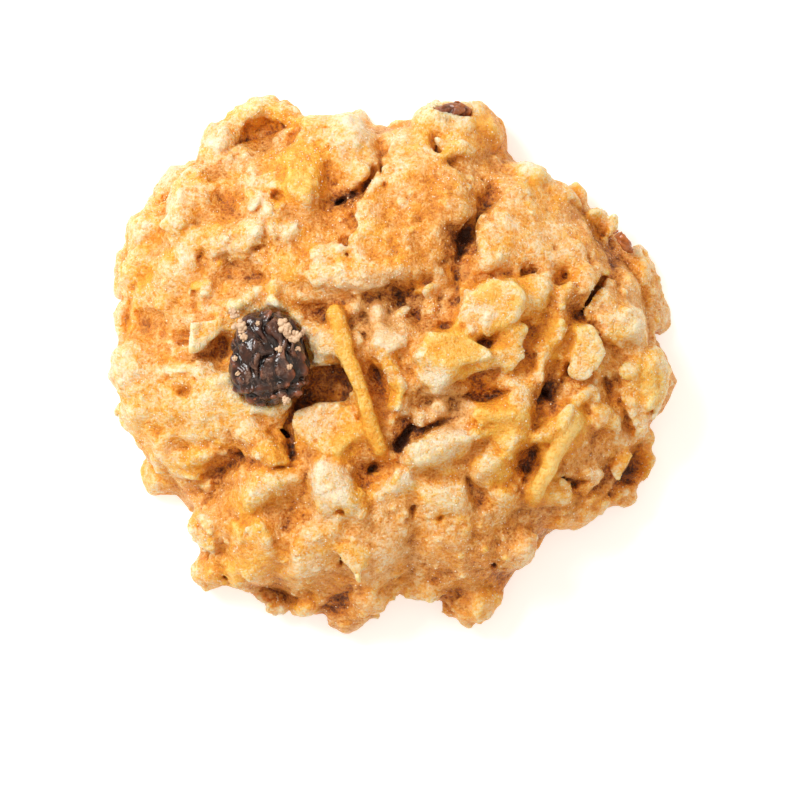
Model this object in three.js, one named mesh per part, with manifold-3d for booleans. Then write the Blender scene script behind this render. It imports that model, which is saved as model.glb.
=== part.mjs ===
// An oatmeal raisin cookie: one craggy dough body with flakes of oat in it, and three raisins.
// Millimetres, +Z up. The origin is on the surface that the cookie rests on, under its middle.
import * as THREE from 'three';
import { ImprovedNoise } from 'three/addons/math/ImprovedNoise.js';
import { mergeVertices } from 'three/addons/utils/BufferGeometryUtils.js';
import Module from 'manifold-3d';

const wasm = await Module();
wasm.setup();

// ---------------------------------------------------------------- driving dimensions

const DOME_HEIGHT = 16.6; // the dome without the lumps that stand on it
const RIM_HEIGHT = 2.4; // where the outline is widest
const UNDERCUT_HEIGHT = 6.0; // how slowly the side turns in under the rim
const RIM_RADIUS = 30.0; // of the dome, without its broad lobes and the lumps round it
const DOME_POWER = 2.15; // 2 is an ellipse, more is a flatter top with steeper sides
const DOME_SLOPE = 0.85; // how much nearer the dome's surface is than along a ray from its middle

const LUMP_HEIGHT = 1.15; // half height of a lump over its smaller half size
const LUMP_BLEND = 1.3; // how softly a lump runs into the dough
const FLAKE_BLEND = 0.5;
const PIT_BLEND = 0.7;
const PIT_MOUTH = 5.0; // how far above the dome a pit still cuts

const SWELL_SIZE = 7.5; // uneven relief over several millimetres
const SWELL_HEIGHT = 0.8;
const GRAIN_SIZE = 2.6; // crumbly relief
const GRAIN_HEIGHT = 0.4;
const RAISIN_GAP = 0.3;

const DOUGH_DETAIL = 18; // subdivisions of the icosahedra that the bodies are shaped from
const RAISIN_DETAIL = 6;
const SMALL_RAISIN_DETAIL = 3;

const LOOKS = {
  dough: { color: '#dca35f', roughness: 0.8, metalness: 0 },
  raisin: { color: '#3a2320', roughness: 0.45, metalness: 0 },
};

// ---------------------------------------------------------------- the rim

// Broad lobes of the dome: direction in degrees, reach past RIM_RADIUS, spread in degrees.
const BROAD_LOBES = [
  [22, 1.4, 14],
  [72, 1.2, 10],
  [94, -0.8, 8],
  [140, 4.3, 30],
  [184, 3.0, 18],
  [236, 2.4, 18],
  [276, -1.2, 10],
  [289, 1.2, 8],
  [312, -1.2, 8],
  [352, 3.2, 26],
];

// Lumps of dough round the rim, which give it its uneven outline.
// Each lump is: x, y, half length, half width, heading in degrees, rise of its top above the dome.
const RIM_LUMPS = [
  [31.9, -1.8, 3.6, 3.0, 95, 3.2],
  [31.0, 5.6, 2.6, 2.6, 0, 3.0],
  [30.6, 11.4, 2.8, 2.5, 90, 3.4],
  [26.0, 17.4, 2.6, 2.0, 60, 3.0],
  [21.6, 20.1, 3.0, 2.5, -45, 3.0],
  [17.4, 23.3, 2.6, 2.2, -20, 3.0],
  [12.0, 29.6, 2.7, 2.5, -50, 4.0],
  [9.4, 30.2, 2.2, 2.4, 0, 3.4],
  [5.0, 30.5, 2.4, 2.4, 5, 3.8],
  [-5.6, 28.8, 3.0, 2.9, 0, 3.6],
  [-9.6, 28.6, 2.2, 2.2, 0, 2.6],
  [-13.0, 30.6, 1.9, 2.6, 0, 3.2],
  [-16.6, 30.6, 2.4, 2.7, 0, 3.6],
  [-20.6, 26.3, 3.2, 2.6, 50, 3.0],
  [-25.3, 22.2, 2.6, 2.6, 0, 3.0],
  [-27.6, 19.9, 2.4, 2.2, 40, 2.6],
  [-30.0, 17.0, 2.7, 2.7, 0, 3.2],
  [-31.3, 10.2, 3.8, 3.2, 100, 3.0],
  [-31.3, 5.2, 2.6, 2.7, 0, 2.8],
  [-31.9, 0.0, 3.8, 3.2, 90, 3.0],
  [-30.6, -5.5, 3.0, 2.9, 80, 2.8],
  [-28.6, -10.4, 3.2, 2.8, 115, 2.8],
  [-27.2, -13.9, 2.8, 2.6, 30, 3.2],
  [-22.6, -20.8, 2.4, 1.9, 0, 3.2],
  [-22.2, -25.8, 2.4, 2.4, 0, 3.4],
  [-16.9, -26.4, 2.8, 2.7, -30, 3.4],
  [-13.9, -29.6, 2.2, 2.2, -20, 2.8],
  [-9.5, -28.9, 2.4, 2.0, 0, 2.6],
  [-5.2, -31.2, 2.4, 2.5, -10, 3.0],
  [-2.4, -29.6, 2.2, 2.0, 30, 2.4],
  [4.4, -27.9, 2.6, 1.9, -10, 2.4],
  [9.8, -29.6, 2.6, 2.4, -10, 3.0],
  [12.0, -28.4, 2.2, 2.4, 0, 2.8],
  [15.6, -23.2, 2.6, 2.2, 40, 2.8],
  [22.8, -17.8, 3.0, 2.2, 20, 2.8],
  [28.6, -15.9, 1.8, 2.1, 60, 2.8],
  [30.2, -12.2, 2.5, 2.6, 90, 3.0],
  [30.8, -7.4, 3.0, 2.4, 85, 3.0],
];

// ---------------------------------------------------------------- what stands on the dome

// Lumps on the dome, given as the rim's lumps are.
const UPPER_LUMPS = [
  [3.3, 28.9, 3.0, 2.5, 60, 1.6],
  [8.9, 27.8, 3.1, 2.3, 0, 2.4],
  [-19.6, 28.0, 3.4, 2.2, 50, 1.0],
  [-23.9, 16.0, 2.6, 2.4, 0, 1.0],
  [-19.7, 15.7, 2.9, 1.7, -10, 1.6],
  [-10.5, 24.3, 4.3, 2.1, -75, 2.4],
  [-12.0, 18.3, 2.2, 2.0, 0, 1.4],
  [-4.6, 25.0, 2.3, 2.2, 0, 1.4],
  [1.2, 24.4, 2.8, 2.2, 20, 1.6],
  [-1.6, 19.2, 4.0, 3.0, 15, 2.4],
  [2.8, 16.6, 2.8, 2.4, 0, 2.0],
  [7.4, 19.6, 2.2, 2.6, 0, 1.4],
  [-8.6, 12.6, 2.6, 2.3, 0, 1.8],
  [-3.4, 13.0, 3.0, 2.2, 0, 1.8],
  [2.0, 12.4, 2.4, 2.0, 0, 1.4],
  [6.3, 15.3, 1.9, 1.5, 0, 1.6],
  [17.6, 17.2, 5.6, 5.2, -30, 1.8],
  [22.6, 14.4, 2.8, 2.6, 0, 1.2],
];

const MIDDLE_LUMPS = [
  [-14.6, 8.2, 2.8, 1.5, 5, 1.2],
  [-13.6, 10.9, 2.4, 1.8, 0, 1.2],
  [-29.5, -1.0, 3.5, 3.0, 0, 0.8],
  [-8.2, 0.9, 1.4, 1.8, 0, 0.8],
  [-7.0, 4.6, 1.3, 2.6, 0, 1.6],
  [-0.2, 1.9, 1.9, 1.7, 0, 1.8],
  [0.1, -2.6, 1.4, 2.6, 0, 1.6],
  [2.4, -3.7, 1.5, 2.1, 0, 1.2],
  [3.2, 5.0, 2.2, 1.5, 20, 0.8],
  [6.0, 8.2, 1.8, 1.8, -20, 0.8],
  [18.6, 10.8, 1.8, 1.6, 0, 2.0],
  [21.9, 8.5, 2.0, 1.5, 40, 1.8],
  [27.1, 8.6, 1.9, 1.2, 90, 1.2],
  [28.3, 5.0, 2.6, 1.5, 0, 1.0],
  [21.4, 4.2, 2.0, 1.5, 70, 2.2],
  [18.3, -0.4, 2.6, 1.7, 50, 2.2],
  [15.4, -3.0, 1.9, 1.2, 10, 0.9],
  [30.3, -3.4, 2.9, 1.2, 95, 1.4],
  [25.8, -6.2, 1.4, 1.4, 0, 1.8],
  [27.6, -8.6, 2.8, 1.5, -70, 1.2],
];

const LOWER_LUMPS = [
  [-26.0, -13.2, 4.6, 2.4, 25, 1.8],
  [-24.0, -17.2, 1.8, 1.4, 0, 0.5],
  [-15.7, -15.6, 4.1, 2.7, 8, 2.4],
  [-17.8, -21.6, 2.7, 2.6, 0, 2.2],
  [-17.0, -25.4, 3.1, 2.8, 0, 2.0],
  [-11.0, -23.6, 2.4, 2.4, 0, 1.8],
  [-7.0, -15.2, 2.6, 2.6, 0, 2.4],
  [-7.9, -20.2, 2.7, 2.0, 0, 1.8],
  [-1.4, -20.6, 3.6, 2.8, 60, 1.8],
  [0.2, -15.3, 2.6, 2.2, 20, 1.8],
  [4.6, -12.2, 3.2, 1.8, 5, 2.0],
  [8.2, -9.6, 2.6, 1.7, 20, 1.8],
  [7.6, -14.9, 1.6, 1.6, 0, 1.4],
  [8.5, -21.5, 3.4, 2.6, 20, 1.2],
  [13.2, -12.6, 2.2, 1.6, 0, 1.8],
  [14.2, -15.8, 1.9, 1.4, 0, 1.6],
  [15.2, -9.3, 1.9, 1.4, 10, 2.0],
  [23.2, -5.0, 3.8, 1.4, 42, 2.2],
  [20.9, -15.4, 1.6, 1.4, 0, 1.0],
  [25.2, -13.8, 1.5, 1.7, 0, 0.8],
];

// Flakes of oat lying in the dough: x, y, half length, half width, thickness, heading in degrees,
// pitch (the far end up), roll (the left side up), rise of the middle above the dome.
const FLAKES = [
  [12.6, 7.3, 5.2, 3.8, 2.4, 22, 0, -10, 1.2],
  [7.9, 0.8, 4.9, 3.1, 2.4, 5, 4, -14, 1.6],
  [13.4, -5.9, 3.9, 1.9, 2.2, -5, 0, -8, 1.2],
  [-7.1, -8.6, 4.4, 3.5, 2.0, 0, 6, -8, 1.2],
  [24.8, 1.7, 2.4, 3.3, 1.6, 0, -14, 0, 1.2],
  [-23.5, 3.8, 2.8, 2.6, 1.8, -20, -6, 6, 0.6],
  [-4.9, -24.4, 2.5, 1.5, 1.6, -50, 0, -18, 1.0],
  [27.8, 17.2, 2.6, 1.1, 1.6, 75, 0, 0, 0.4],
  [23.1, 21.1, 1.8, 1.3, 1.6, -45, 0, 0, 0.2],
  [28.7, -12.4, 1.9, 1.3, 1.6, 95, 0, 0, 0.9],
];

// Narrow flakes that stand on edge: x, y of both ends, bow to the side, width, rise above the dome.
const EDGE_FLAKES = [
  { from: [-6.9, 7.0], to: [-1.3, -11.3], bow: 0.7, width: 2.1, rise: 2.0 },
  { from: [23.4, -7.0], to: [17.8, -16.9], bow: 0.2, width: 2.0, rise: 1.9 },
];
const EDGE_FLAKE_DEPTH = 3.4;
const EDGE_FLAKE_DIP = 1.2; // how far the ends sink into the dough
const EDGE_FLAKE_DIP_POWER = 4; // more keeps the dip nearer to the ends
const EDGE_FLAKE_STOPS = 6; // of the curve that it follows
const EDGE_FLAKE_STEPS = 12;
const EDGE_FLAKE_SIDES = 8;
const EDGE_FLAKE_POWER = 0.5; // 1 is an oval section, less is a squarer one

// ---------------------------------------------------------------- what is missing from the dome

// Pits and clefts: x, y, half length, half width, heading in degrees, depth below the dome.
const PITS = [
  [-16.3, 27.9, 2.7, 1.2, 85, 2.0],
  [-19.6, 19.4, 2.2, 1.5, 70, 2.6],
  [-19.2, 11.4, 2.1, 1.9, 60, 3.4],
  [-16.4, 14.9, 2.1, 0.8, 65, 2.2],
  [-29.6, 5.2, 1.4, 1.2, 100, 1.8],
  [-21.9, 1.2, 1.9, 1.1, 25, 2.6],
  [-6.0, 20.9, 1.4, 1.2, 35, 5.0],
  [-8.3, 20.8, 3.6, 1.6, 75, 2.0],
  [-1.4, 24.6, 1.6, 0.9, 100, 2.8],
  [-1.6, 27.4, 1.9, 1.4, 0, 1.2],
  [8.7, 13.5, 3.0, 1.5, 80, 6.0],
  [8.0, 8.0, 3.0, 0.9, 92, 3.0],
  [11.6, 20.0, 2.2, 1.1, 75, 2.8],
  [12.9, 22.6, 2.2, 1.6, 60, 1.8],
  [25.6, 15.4, 2.0, 1.0, 100, 3.6],
  [27.2, 12.5, 2.8, 1.2, -65, 4.4],
  [-9.2, 6.8, 1.7, 1.3, 15, 3.6],
  [-7.4, -2.6, 2.2, 1.9, -20, 5.4],
  [-1.8, -2.4, 1.8, 0.9, 85, 2.8],
  [-1.8, 7.4, 4.0, 2.4, 0, 1.2],
  [6.3, 5.0, 1.7, 0.9, 10, 2.2],
  [1.9, -9.5, 2.4, 1.2, 45, 5.2],
  [-2.4, -12.5, 1.9, 1.1, 60, 2.8],
  [6.8, -5.6, 2.7, 1.7, 10, 1.4],
  [-13.0, -8.9, 1.5, 1.0, -40, 3.6],
  [-12.6, -11.4, 1.9, 1.6, 90, 2.6],
  [-19.4, -12.2, 2.3, 2.1, 90, 4.2],
  [-22.0, -15.6, 2.6, 1.9, 35, 3.2],
  [-12.9, -18.8, 2.2, 1.1, 90, 1.8],
  [-7.2, -25.0, 1.7, 1.1, -50, 2.0],
  [-6.8, -30.2, 1.3, 1.3, 0, 1.4],
  [-14.2, -28.3, 1.5, 1.2, 60, 1.8],
  [2.9, -19.1, 2.0, 0.8, 88, 2.2],
  [5.1, -14.6, 1.4, 0.9, 20, 1.8],
  [10.8, -15.3, 1.6, 0.9, -45, 3.0],
  [17.2, -12.5, 2.5, 1.7, 75, 3.2],
  [19.7, -3.6, 1.7, 1.3, 70, 6.0],
  [20.9, -2.6, 4.6, 1.7, 62, 3.6],
  [16.6, 2.3, 1.7, 0.9, 10, 2.8],
  [18.4, 5.0, 1.9, 1.1, 10, 1.6],
  [23.1, 6.4, 1.8, 1.1, 75, 4.0],
  [25.0, -10.0, 2.0, 1.3, -70, 2.0],
  [29.4, -7.2, 2.8, 0.8, -65, 1.4],
  [30.8, -12.4, 1.3, 1.0, 60, 2.0],
];

// ---------------------------------------------------------------- raisins

// Place, half sizes, heading in degrees, rise of the middle above the dome, wrinkle depth.
const RAISINS = [
  {
    name: 'raisin_1',
    x: -15.1,
    y: 0.8,
    half: [6.1, 5.1, 3.3],
    heading: 97,
    rise: 0.4,
    taper: -0.16,
    wrinkle: 0.55,
    detail: RAISIN_DETAIL,
  },
  {
    name: 'raisin_2',
    x: 7.3,
    y: 31.4,
    half: [2.5, 1.4, 1.7],
    heading: 28,
    rise: 4.6,
    taper: 0.1,
    wrinkle: 0.2,
    detail: SMALL_RAISIN_DETAIL,
  },
  {
    name: 'raisin_3',
    x: 29.2,
    y: 15.3,
    half: [1.9, 0.9, 1.3],
    heading: -52,
    rise: 2.4,
    taper: 0.1,
    wrinkle: 0.12,
    detail: SMALL_RAISIN_DETAIL,
  },
];
const WRINKLE_SIZE = 2.4;
const WRINKLE_STRETCH = 0.6; // below 1 the folds run along the raisin

// ---------------------------------------------------------------- helpers

const noise = new ImprovedNoise();
const radians = THREE.MathUtils.degToRad;

// Two distances joined with a fillet of the size given, and the same for a cut.
function softMin(a, b, size) {
  const overlap = Math.max(size - Math.abs(a - b), 0);
  return Math.min(a, b) - (overlap * overlap) / (4 * size);
}

function softMax(a, b, size) {
  return -softMin(-a, -b, size);
}

// The signed angle from b to a, in degrees, between -180 and 180.
function turn(a, b) {
  return THREE.MathUtils.euclideanModulo(a - b + 180, 360) - 180;
}

function rimRadius(x, y) {
  const direction = THREE.MathUtils.radToDeg(Math.atan2(y, x));
  let radius = RIM_RADIUS;
  for (const [at, reach, spread] of BROAD_LOBES) {
    radius += reach * Math.exp(-((turn(direction, at) / spread) ** 2));
  }
  return radius;
}

// The height of the bare dome over a point.
function domeHeight(x, y) {
  const out = Math.min(Math.hypot(x, y) / rimRadius(x, y), 1);
  return RIM_HEIGHT + (DOME_HEIGHT - RIM_HEIGHT) * (1 - out ** DOME_POWER) ** (1 / DOME_POWER);
}

// ---------------------------------------------------------------- distances to the forms

function domeDistance(p) {
  const above = p.z - RIM_HEIGHT;
  const height = above > 0 ? DOME_HEIGHT - RIM_HEIGHT : UNDERCUT_HEIGHT;
  const out = Math.hypot(p.x, p.y);
  const flat = (out / rimRadius(p.x, p.y)) ** DOME_POWER;
  const norm = (flat + (Math.abs(above) / height) ** DOME_POWER) ** (1 / DOME_POWER);
  return norm === 0 ? -height : (1 - 1 / norm) * Math.hypot(out, above) * DOME_SLOPE;
}

function ellipsoidDistance(local, half) {
  const near = Math.hypot(local.x / half.x, local.y / half.y, local.z / half.z);
  const slope = Math.hypot(
    local.x / half.x ** 2,
    local.y / half.y ** 2,
    local.z / half.z ** 2,
  );
  return slope === 0 ? -Math.min(half.x, half.y, half.z) : (near * (near - 1)) / slope;
}

// A form of the dough: its place, its own axes and the size round which it matters.
function placed(x, y, z, heading, pitch, roll) {
  const turnedTo = new THREE.Euler(radians(roll), radians(-pitch), radians(heading), 'ZYX');
  const frame = new THREE.Matrix4().makeRotationFromEuler(turnedTo).setPosition(x, y, z);
  return frame.invert();
}

function lumpForm([x, y, along, across, heading, rise]) {
  const half = new THREE.Vector3(along, across, Math.min(along, across) * LUMP_HEIGHT);
  const inward = placed(x, y, domeHeight(x, y) + rise - half.z, heading, 0, 0);
  return { inward, blend: LUMP_BLEND, distance: (q) => ellipsoidDistance(q, half) };
}

function flakeForm([x, y, along, across, thickness, heading, pitch, roll, rise]) {
  const inward = placed(x, y, domeHeight(x, y) + rise, heading, pitch, roll);
  const edge = thickness / 2;
  const narrow = Math.min(along, across);
  const distance = (q) => {
    const beyond = (Math.hypot(q.x / along, q.y / across) - 1) * narrow + edge;
    return Math.hypot(Math.max(beyond, 0), q.z) - edge;
  };
  return { inward, blend: FLAKE_BLEND, distance };
}

function pitForm([x, y, along, across, heading, depth]) {
  const half = new THREE.Vector3(along, across, (depth + PIT_MOUTH) / 2);
  const inward = placed(x, y, domeHeight(x, y) - depth + half.z, heading, 0, 0);
  return { inward, blend: PIT_BLEND, distance: (q) => ellipsoidDistance(q, half) };
}

const raised = [
  ...[...RIM_LUMPS, ...UPPER_LUMPS, ...MIDDLE_LUMPS, ...LOWER_LUMPS].map(lumpForm),
  ...FLAKES.map(flakeForm),
];
const sunken = PITS.map(pitForm);

const local = new THREE.Vector3();

function relief(p, size, height) {
  return height * noise.noise(p.x / size, p.y / size, p.z / size);
}

// Distance from a point to the dough's surface, negative inside.
function doughDistance(p) {
  let distance = domeDistance(p);
  for (const form of raised) {
    local.copy(p).applyMatrix4(form.inward);
    distance = softMin(distance, form.distance(local), form.blend);
  }
  for (const form of sunken) {
    local.copy(p).applyMatrix4(form.inward);
    distance = softMax(distance, -form.distance(local), form.blend);
  }
  distance += relief(p, SWELL_SIZE, SWELL_HEIGHT) + relief(p, GRAIN_SIZE, GRAIN_HEIGHT);
  return Math.max(distance, -p.z);
}

// ---------------------------------------------------------------- the dough body

const SHARE_ABOVE = 0.76; // share of the body's faces that lie above its widest ring
const CORE_RADIUS = 20.0; // the faces are pushed out from a disc of this radius
const CORE_HEIGHT = 3.0;
const REACH = 26.0; // from the disc to clear outside the dough
const STEP = 0.3;
const HALVINGS = 12;
const RELAX_ROUNDS = 8;
const RELAX_SHARE = 0.5;
const PROBE = 0.05;
const LONGEST_STEP = 0.6;
const GENTLEST_SLOPE = 0.5; // of the distance, where a corner is moved on to the surface
const MERGE_GAP = 1e-4; // between corners that are taken as one

// A direction of the unit ball, with more of its faces turned upwards.
function spreadUp(direction) {
  const share = (1 - direction.z) / 2;
  const half = SHARE_ABOVE;
  const z = share < half ? 1 - share / half : -(share - half) / (1 - half);
  const flat = Math.hypot(direction.x, direction.y) || 1;
  const across = Math.sqrt(Math.max(1 - z * z, 0));
  return new THREE.Vector3((direction.x / flat) * across, (direction.y / flat) * across, z);
}

// The outermost point of the dough along a ray from the core.
function surfacePoint(direction) {
  const start = new THREE.Vector3(direction.x, direction.y, 0).multiplyScalar(CORE_RADIUS);
  start.z = CORE_HEIGHT;
  const point = new THREE.Vector3();
  const at = (reach) => doughDistance(point.copy(start).addScaledVector(direction, reach));
  let outside = REACH;
  while (outside > STEP && at(outside - STEP) > 0) {
    outside -= STEP;
  }
  let inside = outside - STEP;
  for (let i = 0; i < HALVINGS; i++) {
    const middle = (inside + outside) / 2;
    if (at(middle) > 0) {
      outside = middle;
    } else {
      inside = middle;
    }
  }
  at(inside);
  point.z = Math.max(point.z, 0);
  return point;
}

// A ball whose shared corners are merged, with each corner moved by the function given.
function shapedBall(detail, move) {
  const ball = new THREE.IcosahedronGeometry(1, detail);
  ball.deleteAttribute('normal');
  ball.deleteAttribute('uv');
  const merged = mergeVertices(ball, MERGE_GAP);
  const corners = merged.attributes.position;
  const corner = new THREE.Vector3();
  for (let i = 0; i < corners.count; i++) {
    const moved = move(corner.fromBufferAttribute(corners, i));
    corners.setXYZ(i, moved.x, moved.y, moved.z);
  }
  return merged;
}

// How the distance to the surface grows along each axis.
function slopeAt(point) {
  const here = doughDistance(point);
  const slope = new THREE.Vector3();
  for (const axis of ['x', 'y', 'z']) {
    const beside = point.clone();
    beside[axis] += PROBE;
    slope[axis] = (doughDistance(beside) - here) / PROBE;
  }
  return slope;
}

// Moves a point that is near the surface on to it.
function settled(point) {
  const slope = slopeAt(point);
  const steep = Math.max(slope.length(), GENTLEST_SLOPE);
  const step = doughDistance(point) / steep;
  point.addScaledVector(slope.normalize(), -THREE.MathUtils.clamp(step, -LONGEST_STEP, LONGEST_STEP));
  point.z = Math.max(point.z, 0);
  return point;
}

function neighboursOf(geometry) {
  const { index, attributes } = geometry;
  const neighbours = Array.from({ length: attributes.position.count }, () => new Set());
  for (let i = 0; i < index.count; i += 3) {
    const [a, b, c] = [index.getX(i), index.getX(i + 1), index.getX(i + 2)];
    neighbours[a].add(b).add(c);
    neighbours[b].add(c).add(a);
    neighbours[c].add(a).add(b);
  }
  return neighbours;
}

// Evens out the corners along the surface, so that the faces follow its steps and overhangs.
function relaxed(geometry) {
  const neighbours = neighboursOf(geometry);
  const corners = geometry.attributes.position;
  for (let round = 0; round < RELAX_ROUNDS; round++) {
    const moved = neighbours.map((around, i) => {
      const middle = new THREE.Vector3();
      const corner = new THREE.Vector3();
      for (const other of around) {
        middle.add(corner.fromBufferAttribute(corners, other));
      }
      corner.fromBufferAttribute(corners, i);
      const shift = middle.divideScalar(around.size).sub(corner).multiplyScalar(RELAX_SHARE);
      const along = shift.projectOnPlane(slopeAt(corner).normalize());
      return settled(corner.add(along));
    });
    moved.forEach((corner, i) => corners.setXYZ(i, corner.x, corner.y, corner.z));
  }
  return geometry;
}

function doughBall() {
  return relaxed(shapedBall(DOUGH_DETAIL, (direction) => surfacePoint(spreadUp(direction))));
}

// ---------------------------------------------------------------- flakes on edge

// Draws a circle's sine or cosine out towards the corners of a square.
function squared(share) {
  return Math.sign(share) * Math.abs(share) ** EDGE_FLAKE_POWER;
}

// A flat bar that follows the dome between two points.
function edgeFlake({ from, to, bow, width, rise }) {
  const start = new THREE.Vector2(...from);
  const end = new THREE.Vector2(...to);
  const side = end.clone().sub(start).normalize().rotateAround(new THREE.Vector2(), Math.PI / 2);
  const stops = Array.from({ length: EDGE_FLAKE_STOPS }, (_, i) => {
    const share = i / (EDGE_FLAKE_STOPS - 1);
    const flat = start.clone().lerp(end, share);
    flat.addScaledVector(side, bow * Math.sin(Math.PI * share));
    const dip = EDGE_FLAKE_DIP * (2 * share - 1) ** EDGE_FLAKE_DIP_POWER;
    const top = domeHeight(flat.x, flat.y) + rise - dip;
    return new THREE.Vector3(flat.x, flat.y, top - EDGE_FLAKE_DEPTH / 2);
  });
  const section = new THREE.Shape();
  for (let i = 0; i < EDGE_FLAKE_SIDES; i++) {
    const angle = ((i + 0.5) * 2 * Math.PI) / EDGE_FLAKE_SIDES;
    const x = (EDGE_FLAKE_DEPTH / 2) * squared(Math.cos(angle));
    const y = (width / 2) * squared(Math.sin(angle));
    if (i === 0) {
      section.moveTo(x, y);
    } else {
      section.lineTo(x, y);
    }
  }
  const bar = new THREE.ExtrudeGeometry(section, {
    steps: EDGE_FLAKE_STEPS,
    extrudePath: new THREE.CatmullRomCurve3(stops),
    bevelEnabled: false,
  });
  bar.deleteAttribute('normal');
  bar.deleteAttribute('uv');
  return mergeVertices(bar, MERGE_GAP);
}

// ---------------------------------------------------------------- raisins

// A flattened ball, wider at one end, with folds that run along it.
function raisinBall(raisin, grow) {
  const [along, across, up] = raisin.half;
  const frame = placed(
    raisin.x,
    raisin.y,
    domeHeight(raisin.x, raisin.y) + raisin.rise,
    raisin.heading,
    0,
    0,
  ).invert();
  return shapedBall(raisin.detail, (n) => {
    const fold = noise.noise(
      (n.x * along * WRINKLE_STRETCH) / WRINKLE_SIZE,
      (n.y * across) / WRINKLE_SIZE,
      (n.z * up) / WRINKLE_SIZE,
    );
    const dent = grow > 0 ? grow : -raisin.wrinkle * (1 - Math.abs(fold) * 2);
    const wide = 1 + raisin.taper * n.x;
    const moved = new THREE.Vector3(
      n.x * (along + dent),
      n.y * (across + dent) * wide,
      n.z * (up + dent),
    );
    return moved.applyMatrix4(frame);
  });
}

// ---------------------------------------------------------------- joins and cuts

function solidOf(geometry) {
  return new wasm.Manifold(
    new wasm.Mesh({
      numProp: 3,
      vertProperties: geometry.attributes.position.array,
      triVerts: new Uint32Array(geometry.index.array),
    }),
  );
}

function geometryOf(solid) {
  const { vertProperties, triVerts, numProp } = solid.getMesh();
  const geometry = new THREE.BufferGeometry();
  const corners = new Float32Array((vertProperties.length / numProp) * 3);
  for (let i = 0; i < corners.length / 3; i++) {
    corners.set(vertProperties.subarray(i * numProp, i * numProp + 3), i * 3);
  }
  geometry.setAttribute('position', new THREE.BufferAttribute(corners, 3));
  geometry.setIndex(new THREE.BufferAttribute(triVerts, 1));
  return geometry;
}

function cookieGeometry() {
  let dough = solidOf(doughBall());
  for (const flake of EDGE_FLAKES) {
    dough = dough.add(solidOf(edgeFlake(flake)));
  }
  for (const raisin of RAISINS) {
    dough = dough.subtract(solidOf(raisinBall(raisin, RAISIN_GAP)));
  }
  return geometryOf(dough);
}

// ---------------------------------------------------------------- the cookie

function named(name, geometry, look) {
  const mesh = new THREE.Mesh(geometry, new THREE.MeshStandardMaterial(look));
  mesh.name = name;
  return mesh;
}

const cookie = new THREE.Group();
cookie.add(named('cookie', cookieGeometry(), LOOKS.dough));
for (const raisin of RAISINS) {
  cookie.add(named(raisin.name, raisinBall(raisin, 0), LOOKS.raisin));
}

export default cookie;
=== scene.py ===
"""An oatmeal raisin cookie seen from straight above: crumbly dough with flakes of oat, and raisins in it.

Lengths in the lists are millimetres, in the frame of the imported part. Meshes are made in metres.
The dough is a field of distances on a grid: a dome, joined with lumps and flakes, less pits and pores.
"""

import itertools
import math

import bpy
import numpy as np
from mathutils import Euler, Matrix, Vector


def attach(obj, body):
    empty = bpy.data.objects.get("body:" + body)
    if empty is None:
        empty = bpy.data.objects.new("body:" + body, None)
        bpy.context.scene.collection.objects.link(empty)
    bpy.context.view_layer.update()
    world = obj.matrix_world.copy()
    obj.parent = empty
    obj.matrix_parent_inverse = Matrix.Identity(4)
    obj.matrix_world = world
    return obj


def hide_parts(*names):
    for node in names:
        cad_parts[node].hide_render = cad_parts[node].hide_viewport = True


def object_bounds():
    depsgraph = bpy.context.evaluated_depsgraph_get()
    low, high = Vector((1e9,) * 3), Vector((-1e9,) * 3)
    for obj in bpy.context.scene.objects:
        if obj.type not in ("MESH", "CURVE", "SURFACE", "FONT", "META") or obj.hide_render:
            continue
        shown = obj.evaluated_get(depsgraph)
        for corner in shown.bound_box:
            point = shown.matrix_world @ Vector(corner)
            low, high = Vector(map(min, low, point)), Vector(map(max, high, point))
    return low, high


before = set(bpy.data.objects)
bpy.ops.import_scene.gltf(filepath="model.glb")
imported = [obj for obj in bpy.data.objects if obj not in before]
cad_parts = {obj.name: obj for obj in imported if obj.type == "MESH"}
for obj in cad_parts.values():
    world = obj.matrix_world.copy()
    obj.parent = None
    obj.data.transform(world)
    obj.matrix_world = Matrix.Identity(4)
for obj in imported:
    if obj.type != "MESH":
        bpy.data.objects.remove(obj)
cad_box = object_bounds()

MM = 0.001
FAR = 9.0  # a distance larger than any that bears on a surface

# Each kind of thing has its own random draws.
SEED = 11
FORM_SEED = SEED + 1
WARP_SEED = SEED + 5
RELIEF_SEED = SEED + 20
GRAIN_SEED = SEED + 31
RAISIN_CRUMB_SEED = SEED + 32
RAISIN_SEED = SEED + 50
PATCH_SEED = SEED + 90

# ---------------------------------------------------------------- the dome

DOME_HEIGHT = 16.6
RIM_HEIGHT = 2.4  # where the dome is widest
UNDERCUT_HEIGHT = 6.0  # of the half below that, which the ground cuts off
RIM_RADIUS = 30.0
DOME_POWER = 2.15  # 2 is round and more is boxier
DOME_SHARE = 0.85  # of the way to the dome, along a line from its middle, that is distance from it

# Broad lobes: direction in degrees, reach past RIM_RADIUS, spread in degrees.
BROAD_LOBES = [
    (22, 1.4, 14),
    (72, 1.2, 10),
    (94, -0.8, 8),
    (140, 4.3, 30),
    (184, 3.0, 18),
    (236, 2.4, 18),
    (276, -1.2, 10),
    (289, 1.2, 8),
    (312, -1.2, 8),
    (352, 3.2, 26),
]

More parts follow.
